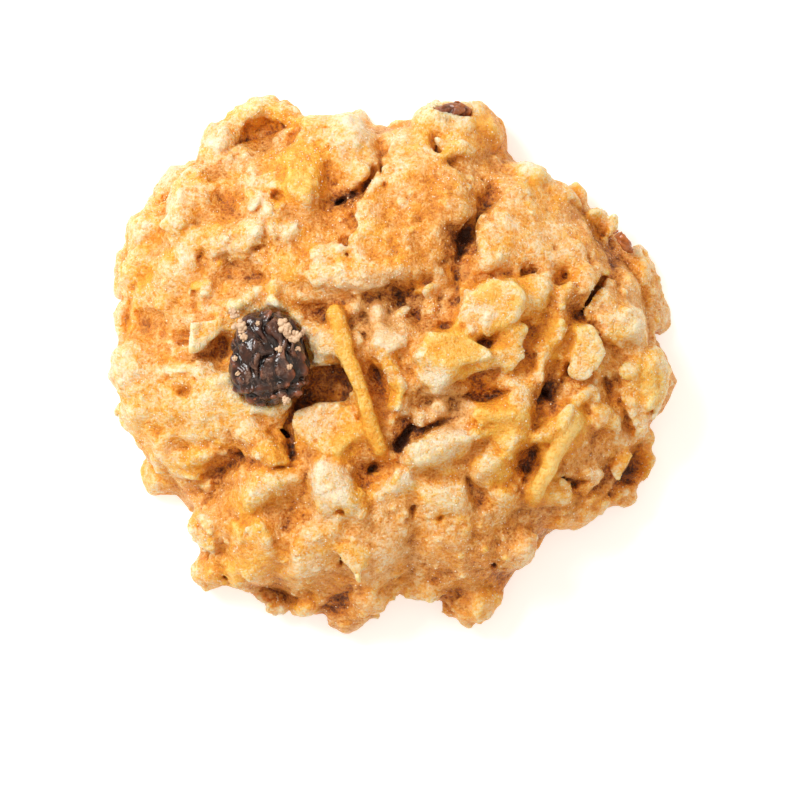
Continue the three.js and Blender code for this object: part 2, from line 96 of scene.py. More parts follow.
# Lumps: x, y, half length, half width, heading in degrees, rise of the top above the dome.
RIM_LUMPS = [
    (31.9, -1.8, 3.6, 3.0, 95, 3.2),
    (29.1, 5.2, 2.6, 2.6, 0, 3.0),
    (29.6, 11.3, 2.8, 2.5, 90, 3.4),
    (25.6, 17.4, 2.6, 2.0, 60, 3.0),
    (21.6, 20.1, 3.0, 2.5, -45, 3.0),
    (17.4, 23.3, 2.6, 2.2, -20, 3.0),
    (11.6, 28.7, 2.7, 2.5, -50, 4.0),
    (9.1, 29.2, 2.2, 2.4, 0, 3.4),
    (4.9, 29.8, 2.4, 2.4, 5, 3.8),
    (-5.4, 27.8, 3.0, 2.9, 0, 3.6),
    (-9.6, 28.6, 2.2, 2.2, 0, 2.6),
    (-13.0, 30.6, 1.9, 2.6, 0, 3.2),
    (-16.6, 30.6, 2.4, 2.7, 0, 3.6),
    (-19.0, 28.3, 2.8, 2.2, 55, 2.8),
    (-20.6, 26.3, 3.2, 2.6, 50, 3.0),
    (-24.2, 21.3, 2.6, 2.6, 0, 3.0),
    (-25.8, 18.6, 2.4, 2.2, 40, 2.6),
    (-29.4, 16.7, 2.7, 2.7, 0, 3.2),
    (-31.3, 10.2, 3.8, 3.2, 100, 3.0),
    (-32.6, 5.5, 2.6, 2.7, 0, 2.8),
    (-31.9, 0.0, 3.8, 3.2, 90, 3.0),
    (-30.6, -5.5, 3.0, 2.9, 80, 2.8),
    (-28.0, -10.3, 3.2, 2.8, 115, 2.8),
    (-25.8, -13.2, 2.8, 2.6, 30, 3.2),
    (-22.6, -20.8, 2.4, 1.9, 0, 3.2),
    (-22.2, -25.8, 2.4, 2.4, 0, 3.4),
    (-16.9, -26.4, 2.8, 2.7, -30, 3.4),
    (-13.4, -29.0, 3.2, 2.6, -20, 2.8),
    (-9.9, -29.5, 3.2, 2.2, 0, 2.6),
    (-5.2, -31.2, 2.4, 2.5, -10, 3.0),
    (-2.6, -29.1, 2.2, 2.0, 30, 2.4),
    (4.4, -28.2, 2.6, 1.9, -10, 2.4),
    (9.3, -30.3, 2.6, 2.4, -10, 3.0),
    (12.0, -28.4, 2.2, 2.4, 0, 2.8),
    (15.6, -23.2, 2.6, 2.2, 40, 2.8),
    (24.0, -17.9, 3.2, 2.2, 20, 2.8),
    (28.6, -15.9, 1.8, 2.1, 60, 2.8),
    (30.2, -12.2, 2.5, 2.6, 90, 3.0),
    (30.8, -7.4, 3.0, 2.4, 85, 3.0),
]

# Masses that stand out of the dome with steep sides: corners in plan, rise above the dome,
# bake, gold and crumb.
MASSES = [
    ([(-5.4, 20.6), (-3.4, 22.4), (-0.6, 26.4), (5.6, 26.0), (9.6, 22.0), (9.4, 17.4), (7.2, 13.4),
      (4.4, 10.8), (-3.6, 10.6), (-5.4, 15.5)], 2.0, 0.03, 0.1, 1.0),
    ([(-13.4, 26.6), (-12.2, 28.2), (-9.4, 28.0), (-7.7, 25.4), (-7.6, 21.6), (-8.6, 18.8), (-10.4, 18.2),
      (-12.6, 20.4), (-13.6, 23.6)], 2.0, 0.02, 0.35, 0.9),
    ([(-24.4, 15.2), (-22.4, 17.0), (-19.6, 17.6), (-16.2, 17.2), (-15.9, 14.8), (-18.0, 13.4),
      (-24.0, 13.2)], 1.1, 0.0, 0.0, 1.0),
    ([(10.6, 13.2), (11.4, 11.8), (23.4, 12.4), (25.0, 15.0), (25.0, 19.4), (22.5, 21.4), (17.8, 23.0),
      (13.6, 22.2), (10.8, 16.6)], 1.8, 0.0, 0.1, 1.0),
    ([(-18.6, 19.4), (-17.8, 23.0), (-14.6, 24.6), (-13.6, 21.0), (-14.0, 18.0), (-16.0, 17.6)],
     0.9, -0.1, 0.0, 1.0),
    ([(-16.4, 9.6), (-16.0, 13.4), (-12.6, 14.2), (-11.0, 12.2), (-11.4, 9.8), (-13.4, 9.0)],
     1.3, 0.0, 0.5, 1.0),
    ([(-10.4, 14.6), (-5.6, 15.4), (-5.0, 10.2), (-9.0, 9.4), (-10.2, 11.0)], 1.5, -0.1, 0.1, 1.0),
    ([(-33.6, 14.0), (-31.0, 18.6), (-27.0, 24.0), (-22.5, 24.0), (-21.8, 17.5), (-24.6, 13.0),
      (-25.0, 7.0), (-31.0, 6.6), (-34.0, 9.0)], 0.8, -0.1, 0.0, 1.0),
    ([(-34.0, -3.0), (-30.0, -0.6), (-25.0, 0.4), (-20.5, -0.4), (-15.2, -5.6), (-14.2, -7.2),
      (-16.8, -10.4), (-25.0, -10.0), (-30.0, -12.0)], 1.0, -0.1, 0.1, 1.0),
    ([(-30.2, -14.0), (-29.6, -12.2), (-25.5, -10.6), (-21.6, -10.8), (-21.8, -12.6), (-25.0, -15.0),
      (-29.4, -15.8)], 2.0, 0.0, 0.5, 0.5),
    ([(-19.8, -16.2), (-18.6, -13.4), (-16.2, -12.8), (-12.4, -13.6), (-11.8, -14.8), (-14.4, -16.8),
      (-18.4, -18.6)], 2.5, -0.1, 0.2, 0.5),
    ([(-21.0, -24.4), (-19.6, -20.6), (-17.8, -19.2), (-15.8, -19.4), (-14.2, -23.0), (-14.2, -27.0),
      (-15.8, -28.4), (-18.8, -27.4)], 2.4, 0.0, 0.4, 0.6),
    ([(-25.0, -21.0), (-23.6, -19.8), (-20.4, -20.0), (-20.6, -22.4), (-23.4, -23.0)], 1.2, -0.1, 0.0, 1.0),
    ([(-10.4, -20.0), (-6.6, -19.6), (-4.8, -21.6), (-6.8, -23.6), (-7.2, -27.0), (-11.6, -27.8),
      (-13.8, -26.8), (-13.4, -24.0)], 1.5, -0.06, 0.1, 1.0),
    ([(-9.4, -12.8), (-8.4, -11.8), (-4.8, -13.4), (-3.8, -16.0), (-4.4, -18.8), (-8.8, -19.4),
      (-10.0, -16.0)], 2.5, -0.1, -0.2, 0.6),
    ([(-4.2, -19.4), (-1.6, -17.4), (1.6, -16.6), (2.4, -19.0), (1.6, -22.6), (-0.4, -26.6),
      (-3.4, -26.8), (-6.6, -23.2)], 1.5, 0.08, -0.2, 0.5),
    ([(-3.8, -16.4), (-1.2, -14.2), (1.4, -12.8), (3.0, -13.8), (3.4, -15.6), (0.0, -17.0)],
     2.2, -0.15, 0.0, 0.8),
    ([(0.8, -11.8), (3.4, -8.8), (7.2, -7.9), (12.0, -8.8), (11.6, -10.2), (7.8, -11.6), (4.6, -14.1),
      (2.6, -13.0)], 2.7, -0.1, 0.1, 1.0),
    ([(3.8, -16.6), (5.4, -15.0), (9.4, -15.0), (9.8, -17.4), (6.4, -18.4)], 1.4, -0.1, 0.0, 1.0),
    ([(5.0, -21.6), (7.0, -19.2), (12.0, -19.4), (14.0, -22.0), (9.0, -25.0), (5.0, -24.0)],
     0.4, 0.02, 0.0, 1.0),
    ([(11.6, -16.6), (12.4, -15.4), (15.4, -15.0), (16.0, -16.6), (14.2, -17.6)], 2.1, -0.05, 0.3, 0.8),
    ([(10.4, -13.6), (11.6, -11.6), (14.2, -11.4), (14.6, -13.0), (12.4, -15.2), (10.8, -14.8)],
     2.3, -0.15, 0.2, 0.8),
    ([(13.6, -9.8), (14.8, -8.2), (18.4, -9.0), (16.2, -11.0), (14.6, -12.0)], 2.2, -0.1, 0.4, 0.8),
    ([(9.9, -5.8), (11.0, -4.2), (15.2, -4.1), (17.6, -5.4), (17.8, -8.4), (15.4, -8.0), (12.2, -8.0),
      (10.2, -7.6)], 2.4, 0.0, 0.9, 0.5),
    ([(13.8, -3.4), (14.6, -2.4), (17.4, -2.6), (17.0, -4.0), (14.4, -4.2)], 1.7, -0.15, -0.3, 0.8),
    ([(26.6, 9.8), (29.6, 10.6), (33.0, 9.6), (33.4, 5.5), (29.8, 3.4), (26.6, 4.6)], 1.3, 0.0, 0.0, 1.0),
    ([(28.9, 11.0), (30.0, 13.8), (31.6, 14.4), (33.0, 11.6), (32.6, 9.0), (30.0, 9.4)], 2.2, 0.0, 0.1, 0.7),
    ([(-9.9, 5.0), (-8.0, 5.8), (-6.4, 6.0), (-5.4, 2.0), (-5.5, -0.1), (-6.8, 0.5), (-8.8, 0.5),
      (-9.4, 2.6)], 1.4, 0.02, 0.2, 0.9),
    ([(28.6, 0.0), (33.0, 1.5), (35.2, -2.0), (33.6, -6.0), (31.0, -7.0), (29.8, -3.0)], 1.0, 0.1, 0.4, 0.8),
    ([(-8.0, 28.6), (-7.0, 31.0), (-4.0, 31.4), (-2.0, 29.0), (-3.2, 26.8), (-7.0, 26.8)],
     2.4, -0.1, -0.1, 0.8),
    ([(-7.4, 25.6), (-6.0, 27.0), (-2.2, 26.0), (-2.6, 24.0), (-4.0, 22.4), (-6.8, 22.6)],
     1.4, 0.0, -0.1, 1.0),
    ([(-0.6, 28.2), (2.6, 29.7), (5.2, 28.9), (5.4, 26.4), (1.0, 26.6)], 1.9, -0.1, 0.1, 0.8),
    ([(6.4, 29.4), (10.6, 29.6), (12.4, 27.6), (10.2, 26.0), (6.2, 26.0)], 2.0, 0.0, 0.4, 0.8),
]

# Lumps on top of the dome, with the same numbers as those at its rim.
LUMPS = [
    (-13.7, 28.5, 1.5, 1.6, 0, 2.0),
    (-17.0, 16.8, 2.2, 1.5, 0, 2.2),
    (-23.4, 8.8, 1.3, 1.2, 0, 1.3),
    (-19.0, 7.4, 1.5, 1.0, 20, 1.2),
    (-13.4, 7.4, 2.6, 1.2, -10, 1.4),
    (-0.4, 2.8, 2.2, 1.6, 10, 2.1),
    (-1.8, 10.3, 1.5, 1.1, 0, 1.9),
    (2.2, 10.0, 1.6, 1.2, 15, 1.9),
    (-12.4, 16.6, 1.6, 1.2, 40, 1.5),
    (-22.4, 21.6, 1.9, 1.4, 30, 1.3),
    (-26.4, 16.4, 1.8, 1.4, 70, 1.3),
    (-27.4, 10.6, 1.9, 1.5, 90, 1.2),
    (2.0, -4.6, 1.6, 2.4, 0, 1.2),
    (6.4, 11.6, 1.3, 1.0, 0, 1.8),
    (6.2, 7.4, 1.4, 1.8, 20, 1.0),
    (12.2, 9.2, 1.4, 1.2, 20, 3.4),
    (17.0, 7.0, 1.6, 1.4, 0, 2.2),
    (18.4, 10.6, 1.3, 1.1, 0, 2.4),
    (21.7, 8.4, 1.9, 1.3, 30, 2.2),
    (28.2, 8.0, 1.6, 1.2, 60, 1.8),
    (25.9, -6.7, 1.5, 1.4, 0, 1.9),
    (20.9, -15.6, 1.7, 1.5, 0, 1.6),
    (24.6, -13.6, 2.0, 1.6, 0, 1.0),
    (27.4, 15.6, 1.1, 1.3, 30, 0.4),
    (-22.3, -25.9, 2.2, 1.8, -20, 2.2),
    (11.6, 28.9, 2.3, 2.8, 10, 4.6),
]

# Lumps on the floor of the bowl in the middle and of the valleys, with the same numbers.
FLOOR_LUMPS = [
    (-4.6, 6.8, 1.5, 1.0, 40, 0.0),
    (-1.6, 6.0, 1.2, 0.9, 100, -0.2),
    (1.9, 6.4, 1.3, 1.0, 20, 0.1),
    (4.6, 7.0, 1.4, 1.0, 70, 0.0),
    (-4.4, 3.4, 1.2, 0.9, 110, 0.4),
    (1.7, 3.6, 1.1, 0.8, 60, 0.3),
    (3.9, 9.0, 1.2, 0.9, 0, 0.0),
    (6.0, -5.8, 1.3, 1.0, 30, 0.0),
    (3.4, -6.4, 1.0, 0.8, 80, 0.0),
    (-22.6, -15.0, 1.1, 0.9, 20, -0.8),
]

# Ridges: both ends, half width, rise of the top above the dome.
RIDGES = [
    (21.6, 6.2, 20.4, 3.2, 1.1, 1.6),
    (20.4, 3.2, 18.1, -1.8, 1.25, 1.7),
    (18.4, -9.2, 22.5, -6.0, 0.8, 2.2),
    (22.5, -6.0, 26.3, -2.0, 0.8, 2.0),
    (29.4, -1.2, 30.2, -6.0, 0.9, 1.6),
    (26.8, -6.8, 29.2, -10.6, 1.2, 1.4),
    (31.4, -4.0, 31.8, -9.6, 1.2, 1.4),
    (-0.8, 2.4, 0.0, -4.4, 1.5, 1.7),
    (-17.6, -8.2, -13.4, -12.0, 1.5, 1.5),
    (-4.2, -13.4, -3.6, -18.6, 0.9, 1.7),
    (23.9, 12.0, 24.1, 10.0, 0.7, 1.8),
    (25.6, 12.2, 26.2, 10.4, 0.7, 1.2),
    (0.6, -2.6, 0.7, -5.0, 0.8, 2.0),
]

# Flat flakes and plates: x and y of the corners, thickness, rise of the middle above the dome,
# heading in which the plate rises, and by how many degrees.
PLATES = [
    ([(-12.4, -7.4), (-9.7, -4.9), (-5.9, -4.9), (-3.0, -8.2), (-3.3, -9.5), (-5.9, -12.2), (-7.8, -11.2),
      (-10.2, -9.6)], 2.4, 0.5, -50, 20),
    ([(4.7, 3.8), (8.4, 4.0), (11.3, 2.7), (13.0, 1.1), (12.7, 0.4), (8.4, -0.4), (3.6, 0.8)],
     2.4, 3.0, -70, 6),
    ([(3.6, 1.0), (7.6, 0.8), (8.5, -0.5), (5.8, -2.8), (4.0, -1.9)], 2.4, 2.4, 60, 16),
    ([(7.4, -0.2), (12.7, 0.6), (12.4, -0.2), (8.9, -1.9), (6.0, -2.7)], 1.8, 1.8, 110, 12),
    ([(12.4, 1.6), (14.6, 1.8), (16.4, 0.9), (15.0, -0.8), (12.9, 0.0)], 1.4, 2.0, 150, 6),
    ([(7.6, 4.0), (9.4, 8.8), (12.6, 10.3), (15.4, 10.6), (16.6, 9.0), (15.6, 5.6), (13.4, 4.0),
      (10.6, 2.7), (8.0, 2.8)], 3.2, 2.8, 50, 6),
    ([(14.6, 10.4), (19.0, 11.2), (20.0, 9.6), (19.4, 7.6), (15.6, 6.0)], 2.4, 2.0, 0, 4),
    ([(12.7, 3.4), (14.6, 4.9), (16.6, 4.2), (16.4, 2.6), (15.2, 1.4), (13.2, 1.9)], 1.4, 1.8, -30, 10),
    ([(22.4, -1.6), (22.6, 2.0), (23.2, 4.6), (25.0, 4.9), (26.9, 1.4), (25.6, -1.2)], 1.8, 1.9, 170, 10),
    ([(-25.0, 5.0), (-20.9, 6.0), (-20.8, 4.0), (-23.4, 1.3), (-25.2, 1.2)], 1.8, 1.3, -140, 6),
    ([(26.2, 3.8), (27.2, 6.2), (29.8, 6.6), (30.2, 4.4), (28.0, 2.8)], 1.4, 2.0, -140, 6),
    ([(-6.8, -23.2), (-4.4, -21.6), (-2.9, -23.6), (-4.0, -26.8)], 1.6, 2.4, 40, 10),
    ([(27.0, 15.4), (27.3, 19.0), (28.6, 18.8), (28.8, 16.6)], 1.4, 2.0, 0, 6),
    ([(21.9, 21.6), (23.6, 23.0), (24.9, 21.4), (23.4, 19.6)], 1.4, 1.0, -45, 6),
    ([(27.2, -13.2), (28.4, -11.0), (30.2, -10.8), (29.6, -12.8), (28.4, -14.6)], 1.5, 2.0, 60, 6),
    ([(24.9, 18.0), (25.9, 20.1), (26.4, 18.4)], 0.9, 1.4, 0, 0),
]
PLATE_EDGE = 0.5  # radius of a plate's edges

# Narrow flakes that stand on edge: both ends, width at each end, rise above the dome, bake.
EDGE_FLAKES = [
    ((-7.0, 6.4), (-1.5, -10.4), 2.2, 2.0, 2.1, 0.15),
    ((22.9, -6.8), (17.8, -16.6), 2.3, 1.5, 2.3, -0.08),
]
EDGE_FLAKE_DEPTH = 3.6
EDGE_FLAKE_DIP = 0.8  # of its top, at both ends
EDGE_FLAKE_EDGE = 0.85  # radius of its edges

# Cavities: corners in plan, depth below the dome, bake and gold. The bake and gold tint the dough in them
# darker and warmer, which is painted shade, darkest in the deep holes.
CAVITIES = [
    ([(-23.6, 1.2), (-20.6, 4.2), (-19.2, 3.2), (-19.2, -0.5), (-22.2, 0.0)], 3.0, 0.3, 0.2),
    ([(-31.0, 4.8), (-29.9, 6.6), (-28.6, 5.9), (-28.5, 4.4), (-30.2, 3.9)], 0.7, 0.2, 0.8),
    ([(-21.6, 18.0), (-21.4, 20.8), (-19.4, 21.4), (-18.8, 19.8), (-19.4, 17.5)], 1.7, 0.06, 0.3),
    ([(-21.6, 11.0), (-20.3, 13.1), (-17.8, 13.2), (-17.3, 11.4), (-19.0, 9.6), (-21.0, 10.0)],
     1.7, 0.0, 0.0),
    ([(-17.3, 29.8), (-16.0, 30.6), (-15.0, 29.4), (-15.0, 26.4), (-16.0, 25.4), (-17.3, 27.2)],
     0.5, 0.05, 0.9),
    ([(-9.4, 21.0), (-7.8, 24.8), (-6.2, 23.5), (-5.1, 21.0), (-5.8, 18.0), (-7.6, 16.0), (-9.2, 17.5)],
     1.5, 0.0, 0.3),
    ([(-7.6, 19.2), (-7.2, 20.6), (-5.4, 21.6), (-3.6, 22.0), (-3.4, 21.0), (-5.0, 20.2), (-6.4, 18.8)],
     4.4, 0.3, 0.2),
    ([(7.6, 11.0), (7.4, 14.5), (8.0, 16.6), (9.6, 16.8), (9.8, 13.0), (9.3, 10.4)], 2.8, 0.1, 0.1),
    ([(7.8, 14.4), (8.0, 16.2), (9.2, 16.3), (9.0, 14.4)], 6.5, 0.7, 0.0),
    ([(7.2, 4.6), (7.3, 10.0), (8.8, 10.2), (8.3, 7.0), (7.9, 4.2)], 1.6, 0.0, 0.3),
    ([(10.4, 17.9), (10.7, 20.5), (11.9, 22.1), (12.8, 21.5), (12.7, 19.0), (11.5, 17.6)], 1.6, 0.0, 0.0),
    ([(-11.3, 6.6), (-9.6, 8.0), (-7.2, 8.3), (-6.8, 7.4), (-7.9, 6.0), (-9.4, 5.0), (-10.8, 5.2)],
     3.4, 0.1, 0.2),
    ([(-9.6, -1.3), (-8.2, -0.5), (-6.0, -0.3), (-5.4, -1.0), (-4.6, -3.6), (-5.5, -4.9), (-6.8, -5.1),
      (-9.0, -4.2)], 4.2, 0.3, 0.3),
    ([(-12.9, -5.0), (-10.4, -1.0), (-8.6, -1.0), (-8.4, -4.7), (-10.4, -5.8), (-12.4, -6.8)],
     4.6, 0.3, 0.2),
    ([(-3.0, -0.8), (-2.2, -0.2), (-0.8, -0.8), (-0.6, -2.4), (-1.2, -4.4), (-2.4, -3.8)], 3.4, 0.2, 0.4),
    ([(0.3, -9.9), (0.8, -8.4), (2.2, -7.5), (3.9, -7.4), (2.8, -9.0), (1.2, -11.0)], 6.5, 0.7, 0.0),
    ([(-15.0, -8.6), (-13.6, -7.3), (-12.2, -8.0), (-11.2, -10.6), (-12.4, -12.2), (-13.4, -11.0)],
     3.0, 0.3, 0.2),
    ([(-21.4, -12.2), (-20.2, -10.3), (-17.3, -11.0), (-17.0, -12.6), (-19.0, -13.6), (-20.8, -13.6)],
     3.4, 0.3, 0.4),
    ([(-25.2, -16.0), (-21.2, -13.0), (-19.2, -13.6), (-19.8, -16.6), (-22.0, -17.4)], 2.2, 0.15, 0.4),
    ([(-13.8, -20.2), (-12.6, -17.2), (-11.6, -16.8), (-11.4, -20.0), (-12.8, -22.3)], 1.0, 0.05, 0.2),
    ([(-15.6, -28.6), (-14.1, -27.0), (-12.8, -28.8), (-13.6, -29.8), (-15.2, -29.4)], 1.0, 0.15, 0.6),
    ([(-4.6, -13.6), (-2.7, -11.2), (-0.8, -12.0), (0.2, -12.0), (-1.6, -14.4), (-3.4, -15.0)],
     2.2, 0.15, 0.1),
    ([(10.1, -15.2), (11.6, -15.8), (11.7, -17.4), (10.2, -17.6)], 1.8, 0.15, 0.1),
    ([(15.4, -12.6), (17.0, -10.4), (19.4, -10.3), (18.6, -12.5), (16.6, -16.2), (15.3, -14.8)],
     2.6, 0.15, 0.7),
    ([(18.1, -7.6), (18.2, -4.0), (20.0, -1.6), (21.0, 1.4), (22.6, 1.2), (23.0, -1.4), (21.6, -4.4),
      (20.6, -5.8)], 2.2, 0.1, 0.0),
    ([(18.2, -3.6), (18.9, -2.5), (20.1, -2.4), (20.0, -4.9), (18.4, -4.6)], 7.0, 0.9, 0.0),
    ([(22.1, 6.3), (23.3, 8.6), (24.2, 7.6), (24.6, 5.2), (22.9, 4.9)], 3.4, 0.35, 0.1),
    ([(15.6, 1.8), (16.8, 2.8), (18.1, 1.2), (17.0, -0.6), (15.6, 0.8)], 2.2, 0.25, 0.4),
    ([(16.0, 4.2), (17.6, 5.2), (20.0, 5.2), (19.5, 3.2), (17.8, 2.2)], 1.2, 0.1, 0.3),
    ([(25.4, 15.6), (28.0, 14.6), (29.6, 12.6), (28.4, 10.4), (27.0, 11.2)], 3.0, 0.3, 0.3),
    ([(24.6, -6.9), (25.2, -7.5), (26.0, -8.9), (25.2, -9.4), (24.4, -8.2)], 1.8, 0.2, 0.3),
    ([(29.6, -13.4), (30.0, -11.6), (31.5, -11.9), (31.2, -13.4)], 1.2, 0.2, 0.9),
    ([(10.0, -1.6), (11.8, -2.2), (14.4, -3.2), (13.6, -3.9), (11.4, -4.1), (10.2, -3.0)], 1.8, 0.15, 0.6),
    ([(3.4, -4.2), (4.6, -3.0), (7.6, -3.5), (9.8, -4.4), (9.6, -6.8), (7.2, -7.8), (4.4, -7.6)],
     1.6, 0.0, -0.8),
    ([(26.4, -1.5), (28.6, -1.4), (28.9, -4.8), (27.6, -5.4), (26.4, -3.6)], 1.8, 0.15, -0.1),
    ([(-10.0, 8.6), (7.0, 9.6), (7.2, 4.4), (0.0, 4.4), (-7.0, 5.0)], 1.2, 0.05, -0.8),
]

# Smaller pits: x, y, half length, half width, heading, depth below the dome.
PITS = [
    (-14.4, 20.9, 1.1, 1.0, 90, 0.9),
    (-23.7, 13.5, 1.3, 0.8, 80, 0.8),
    (-26.0, -3.6, 1.0, 0.7, -10, 0.4),
    (1.3, 8.1, 1.3, 0.9, 0, 1.7),
    (-2.9, 3.5, 1.0, 0.8, 100, 0.9),
    (6.6, 5.1, 1.8, 0.9, 5, 1.8),
    (3.4, 5.0, 1.0, 0.7, 80, 1.6),
    (-3.0, 8.0, 1.1, 0.7, 20, 1.8),
    (15.5, 7.5, 0.6, 0.5, 0, -0.8),
    (21.6, 11.2, 1.2, 1.0, 60, 1.2),
    (19.3, 9.0, 0.9, 0.8, 40, 0.9),
    (-6.2, -18.4, 0.6, 0.45, 0, -0.6),
    (-2.1, -13.0, 0.9, 0.6, 60, 2.8),
    (6.3, -19.3, 1.2, 0.8, 70, 0.5),
    (23.0, -15.0, 0.9, 0.6, 0, 1.4),
    (12.9, -25.2, 0.6, 0.5, 0, 0.3),
]

# Valleys and cracks: both ends, half width, depth below the dome.
CRACKS = [
    (13.4, 22.6, 11.0, 18.4, 1.1, 1.4),
    (10.6, 18.6, 8.7, 13.6, 1.3, 1.8),
    (8.8, 14.0, 7.9, 8.0, 1.1, 1.2),
    (-8.2, 24.6, -7.0, 19.6, 1.3, 0.8),
    (-7.0, 20.2, -5.6, 15.2, 1.0, 0.6),
    (-21.4, 12.4, -16.6, 10.6, 1.2, 1.0),
    (-12.4, 7.6, -7.6, 6.4, 1.1, 2.2),
    (-7.0, 8.4, 6.0, 9.0, 0.9, 1.2),
    (-12.6, -6.2, -12.4, -11.4, 1.1, 2.6),
    (-24.6, -16.0, -19.4, -12.0, 1.5, 2.4),
    (1.6, -9.2, 8.6, -6.6, 1.0, 1.6),
    (9.6, -4.4, 14.4, -3.4, 0.9, 2.0),
    (20.9, 0.6, 19.2, -3.8, 1.2, 1.8),
    (19.3, -3.6, 18.2, -7.4, 1.1, 1.2),
    (18.0, -10.6, 16.4, -15.4, 1.2, 1.6),
    (28.2, 13.6, 24.6, 7.2, 1.0, 1.4),
    (26.8, -1.8, 28.0, -5.2, 0.9, 1.6),
    (9.4, -13.6, 10.8, -18.6, 0.9, 1.0),
    (-4.6, 21.2, -3.0, 21.9, 0.6, 1.6),
    (-3.2, 22.0, -1.8, 24.4, 0.75, 1.0),
    (-1.2, 23.4, -1.2, 25.6, 0.5, 1.0),
    (-6.0, 19.6, -4.8, 16.8, 0.4, 0.6),
    (-12.9, 27.4, -11.4, 29.4, 0.5, 0.2),
    (-17.8, 13.6, -15.8, 15.0, 0.45, 0.5),
    (-15.8, 15.0, -15.9, 18.0, 0.4, -0.2),
    (-24.6, 10.6, -24.6, 6.2, 0.6, 0.5),
    (-28.4, 2.7, -25.4, 3.1, 0.4, 0.3),
    (5.8, 29.4, 6.0, 26.4, 0.5, -0.4),
    (2.8, -17.6, 2.6, -20.6, 0.6, 0.3),
    (-6.2, -22.6, -6.7, -26.8, 0.6, 0.6),
    (-22.0, -24.0, -20.4, -26.8, 0.45, 0.3),
    (28.8, -5.0, 30.2, -10.6, 0.6, 0.3),
    (-13.8, -8.4, -12.2, -9.4, 0.4, 4.0),
    (-14.6, -12.9, -11.6, -12.6, 0.5, 0.4),
    (-11.4, -16.0, -10.4, -12.6, 0.5, 0.1),
    (21.2, -14.4, 26.4, -14.8, 0.5, 0.2),
]

# Blends are the widths over which forms run into one another.
MASS_BLEND = 1.5
MASS_EDGE = 0.8  # radius of the edges of a mass or cavity
MASS_THICKNESS = 4.0
MASS_LEAN = 0.35  # how far the sides of a mass spread out, for each step down
CAVITY_BLEND = 1.5
CAVITY_LEAN = 0.6
HOLE_LEAN = 0.15
HOLE_DEPTH = 4.1  # from which a cavity is a hole with steep sides
LOWEST_FLOOR = 3.2  # of a cavity above the ground
CAVITY_TOP = 5.0  # above the dome
SLOPE_SHARE = 0.85  # of a height above the dome that is distance from it
RIM_BLEND = 2.4
LUMP_BLEND = 1.3
RIDGE_BLEND = 0.6
FLAKE_BLEND = 1.1
PIT_BLEND = 0.8
PIT_TOP = 4.0  # of a pit's mouth above the dome
LUMP_HEIGHT = 1.15  # of a lump's smaller half size
SOCKET_BLEND = 0.3
NO_FLOOR = -99.0  # for a form that goes down as far as it likes

# How baked, golden and crumbly forms are, and their share of the bends. The bake and gold of pits, cracks
# and raisin sockets darken and warm the dough in them: painted shade.
PIT_TONES = {"bake": 0.06, "gold": 0.4}
CRACK_TONES = {"bake": 0.08, "gold": 0.1}
PLATE_TONES = {"bake": -0.04, "gold": 0.3, "crumb": 0.6, "warp": 0.7}
EDGE_FLAKE_TONES = {"gold": 1.0, "crumb": 0.4, "warp": 0.6}
SOCKET_TONES = {"bake": 0.3, "gold": 0.0}
RANDOM_BAKE = (-0.12, 0.12)
RANDOM_GOLD = (-0.15, 0.35)

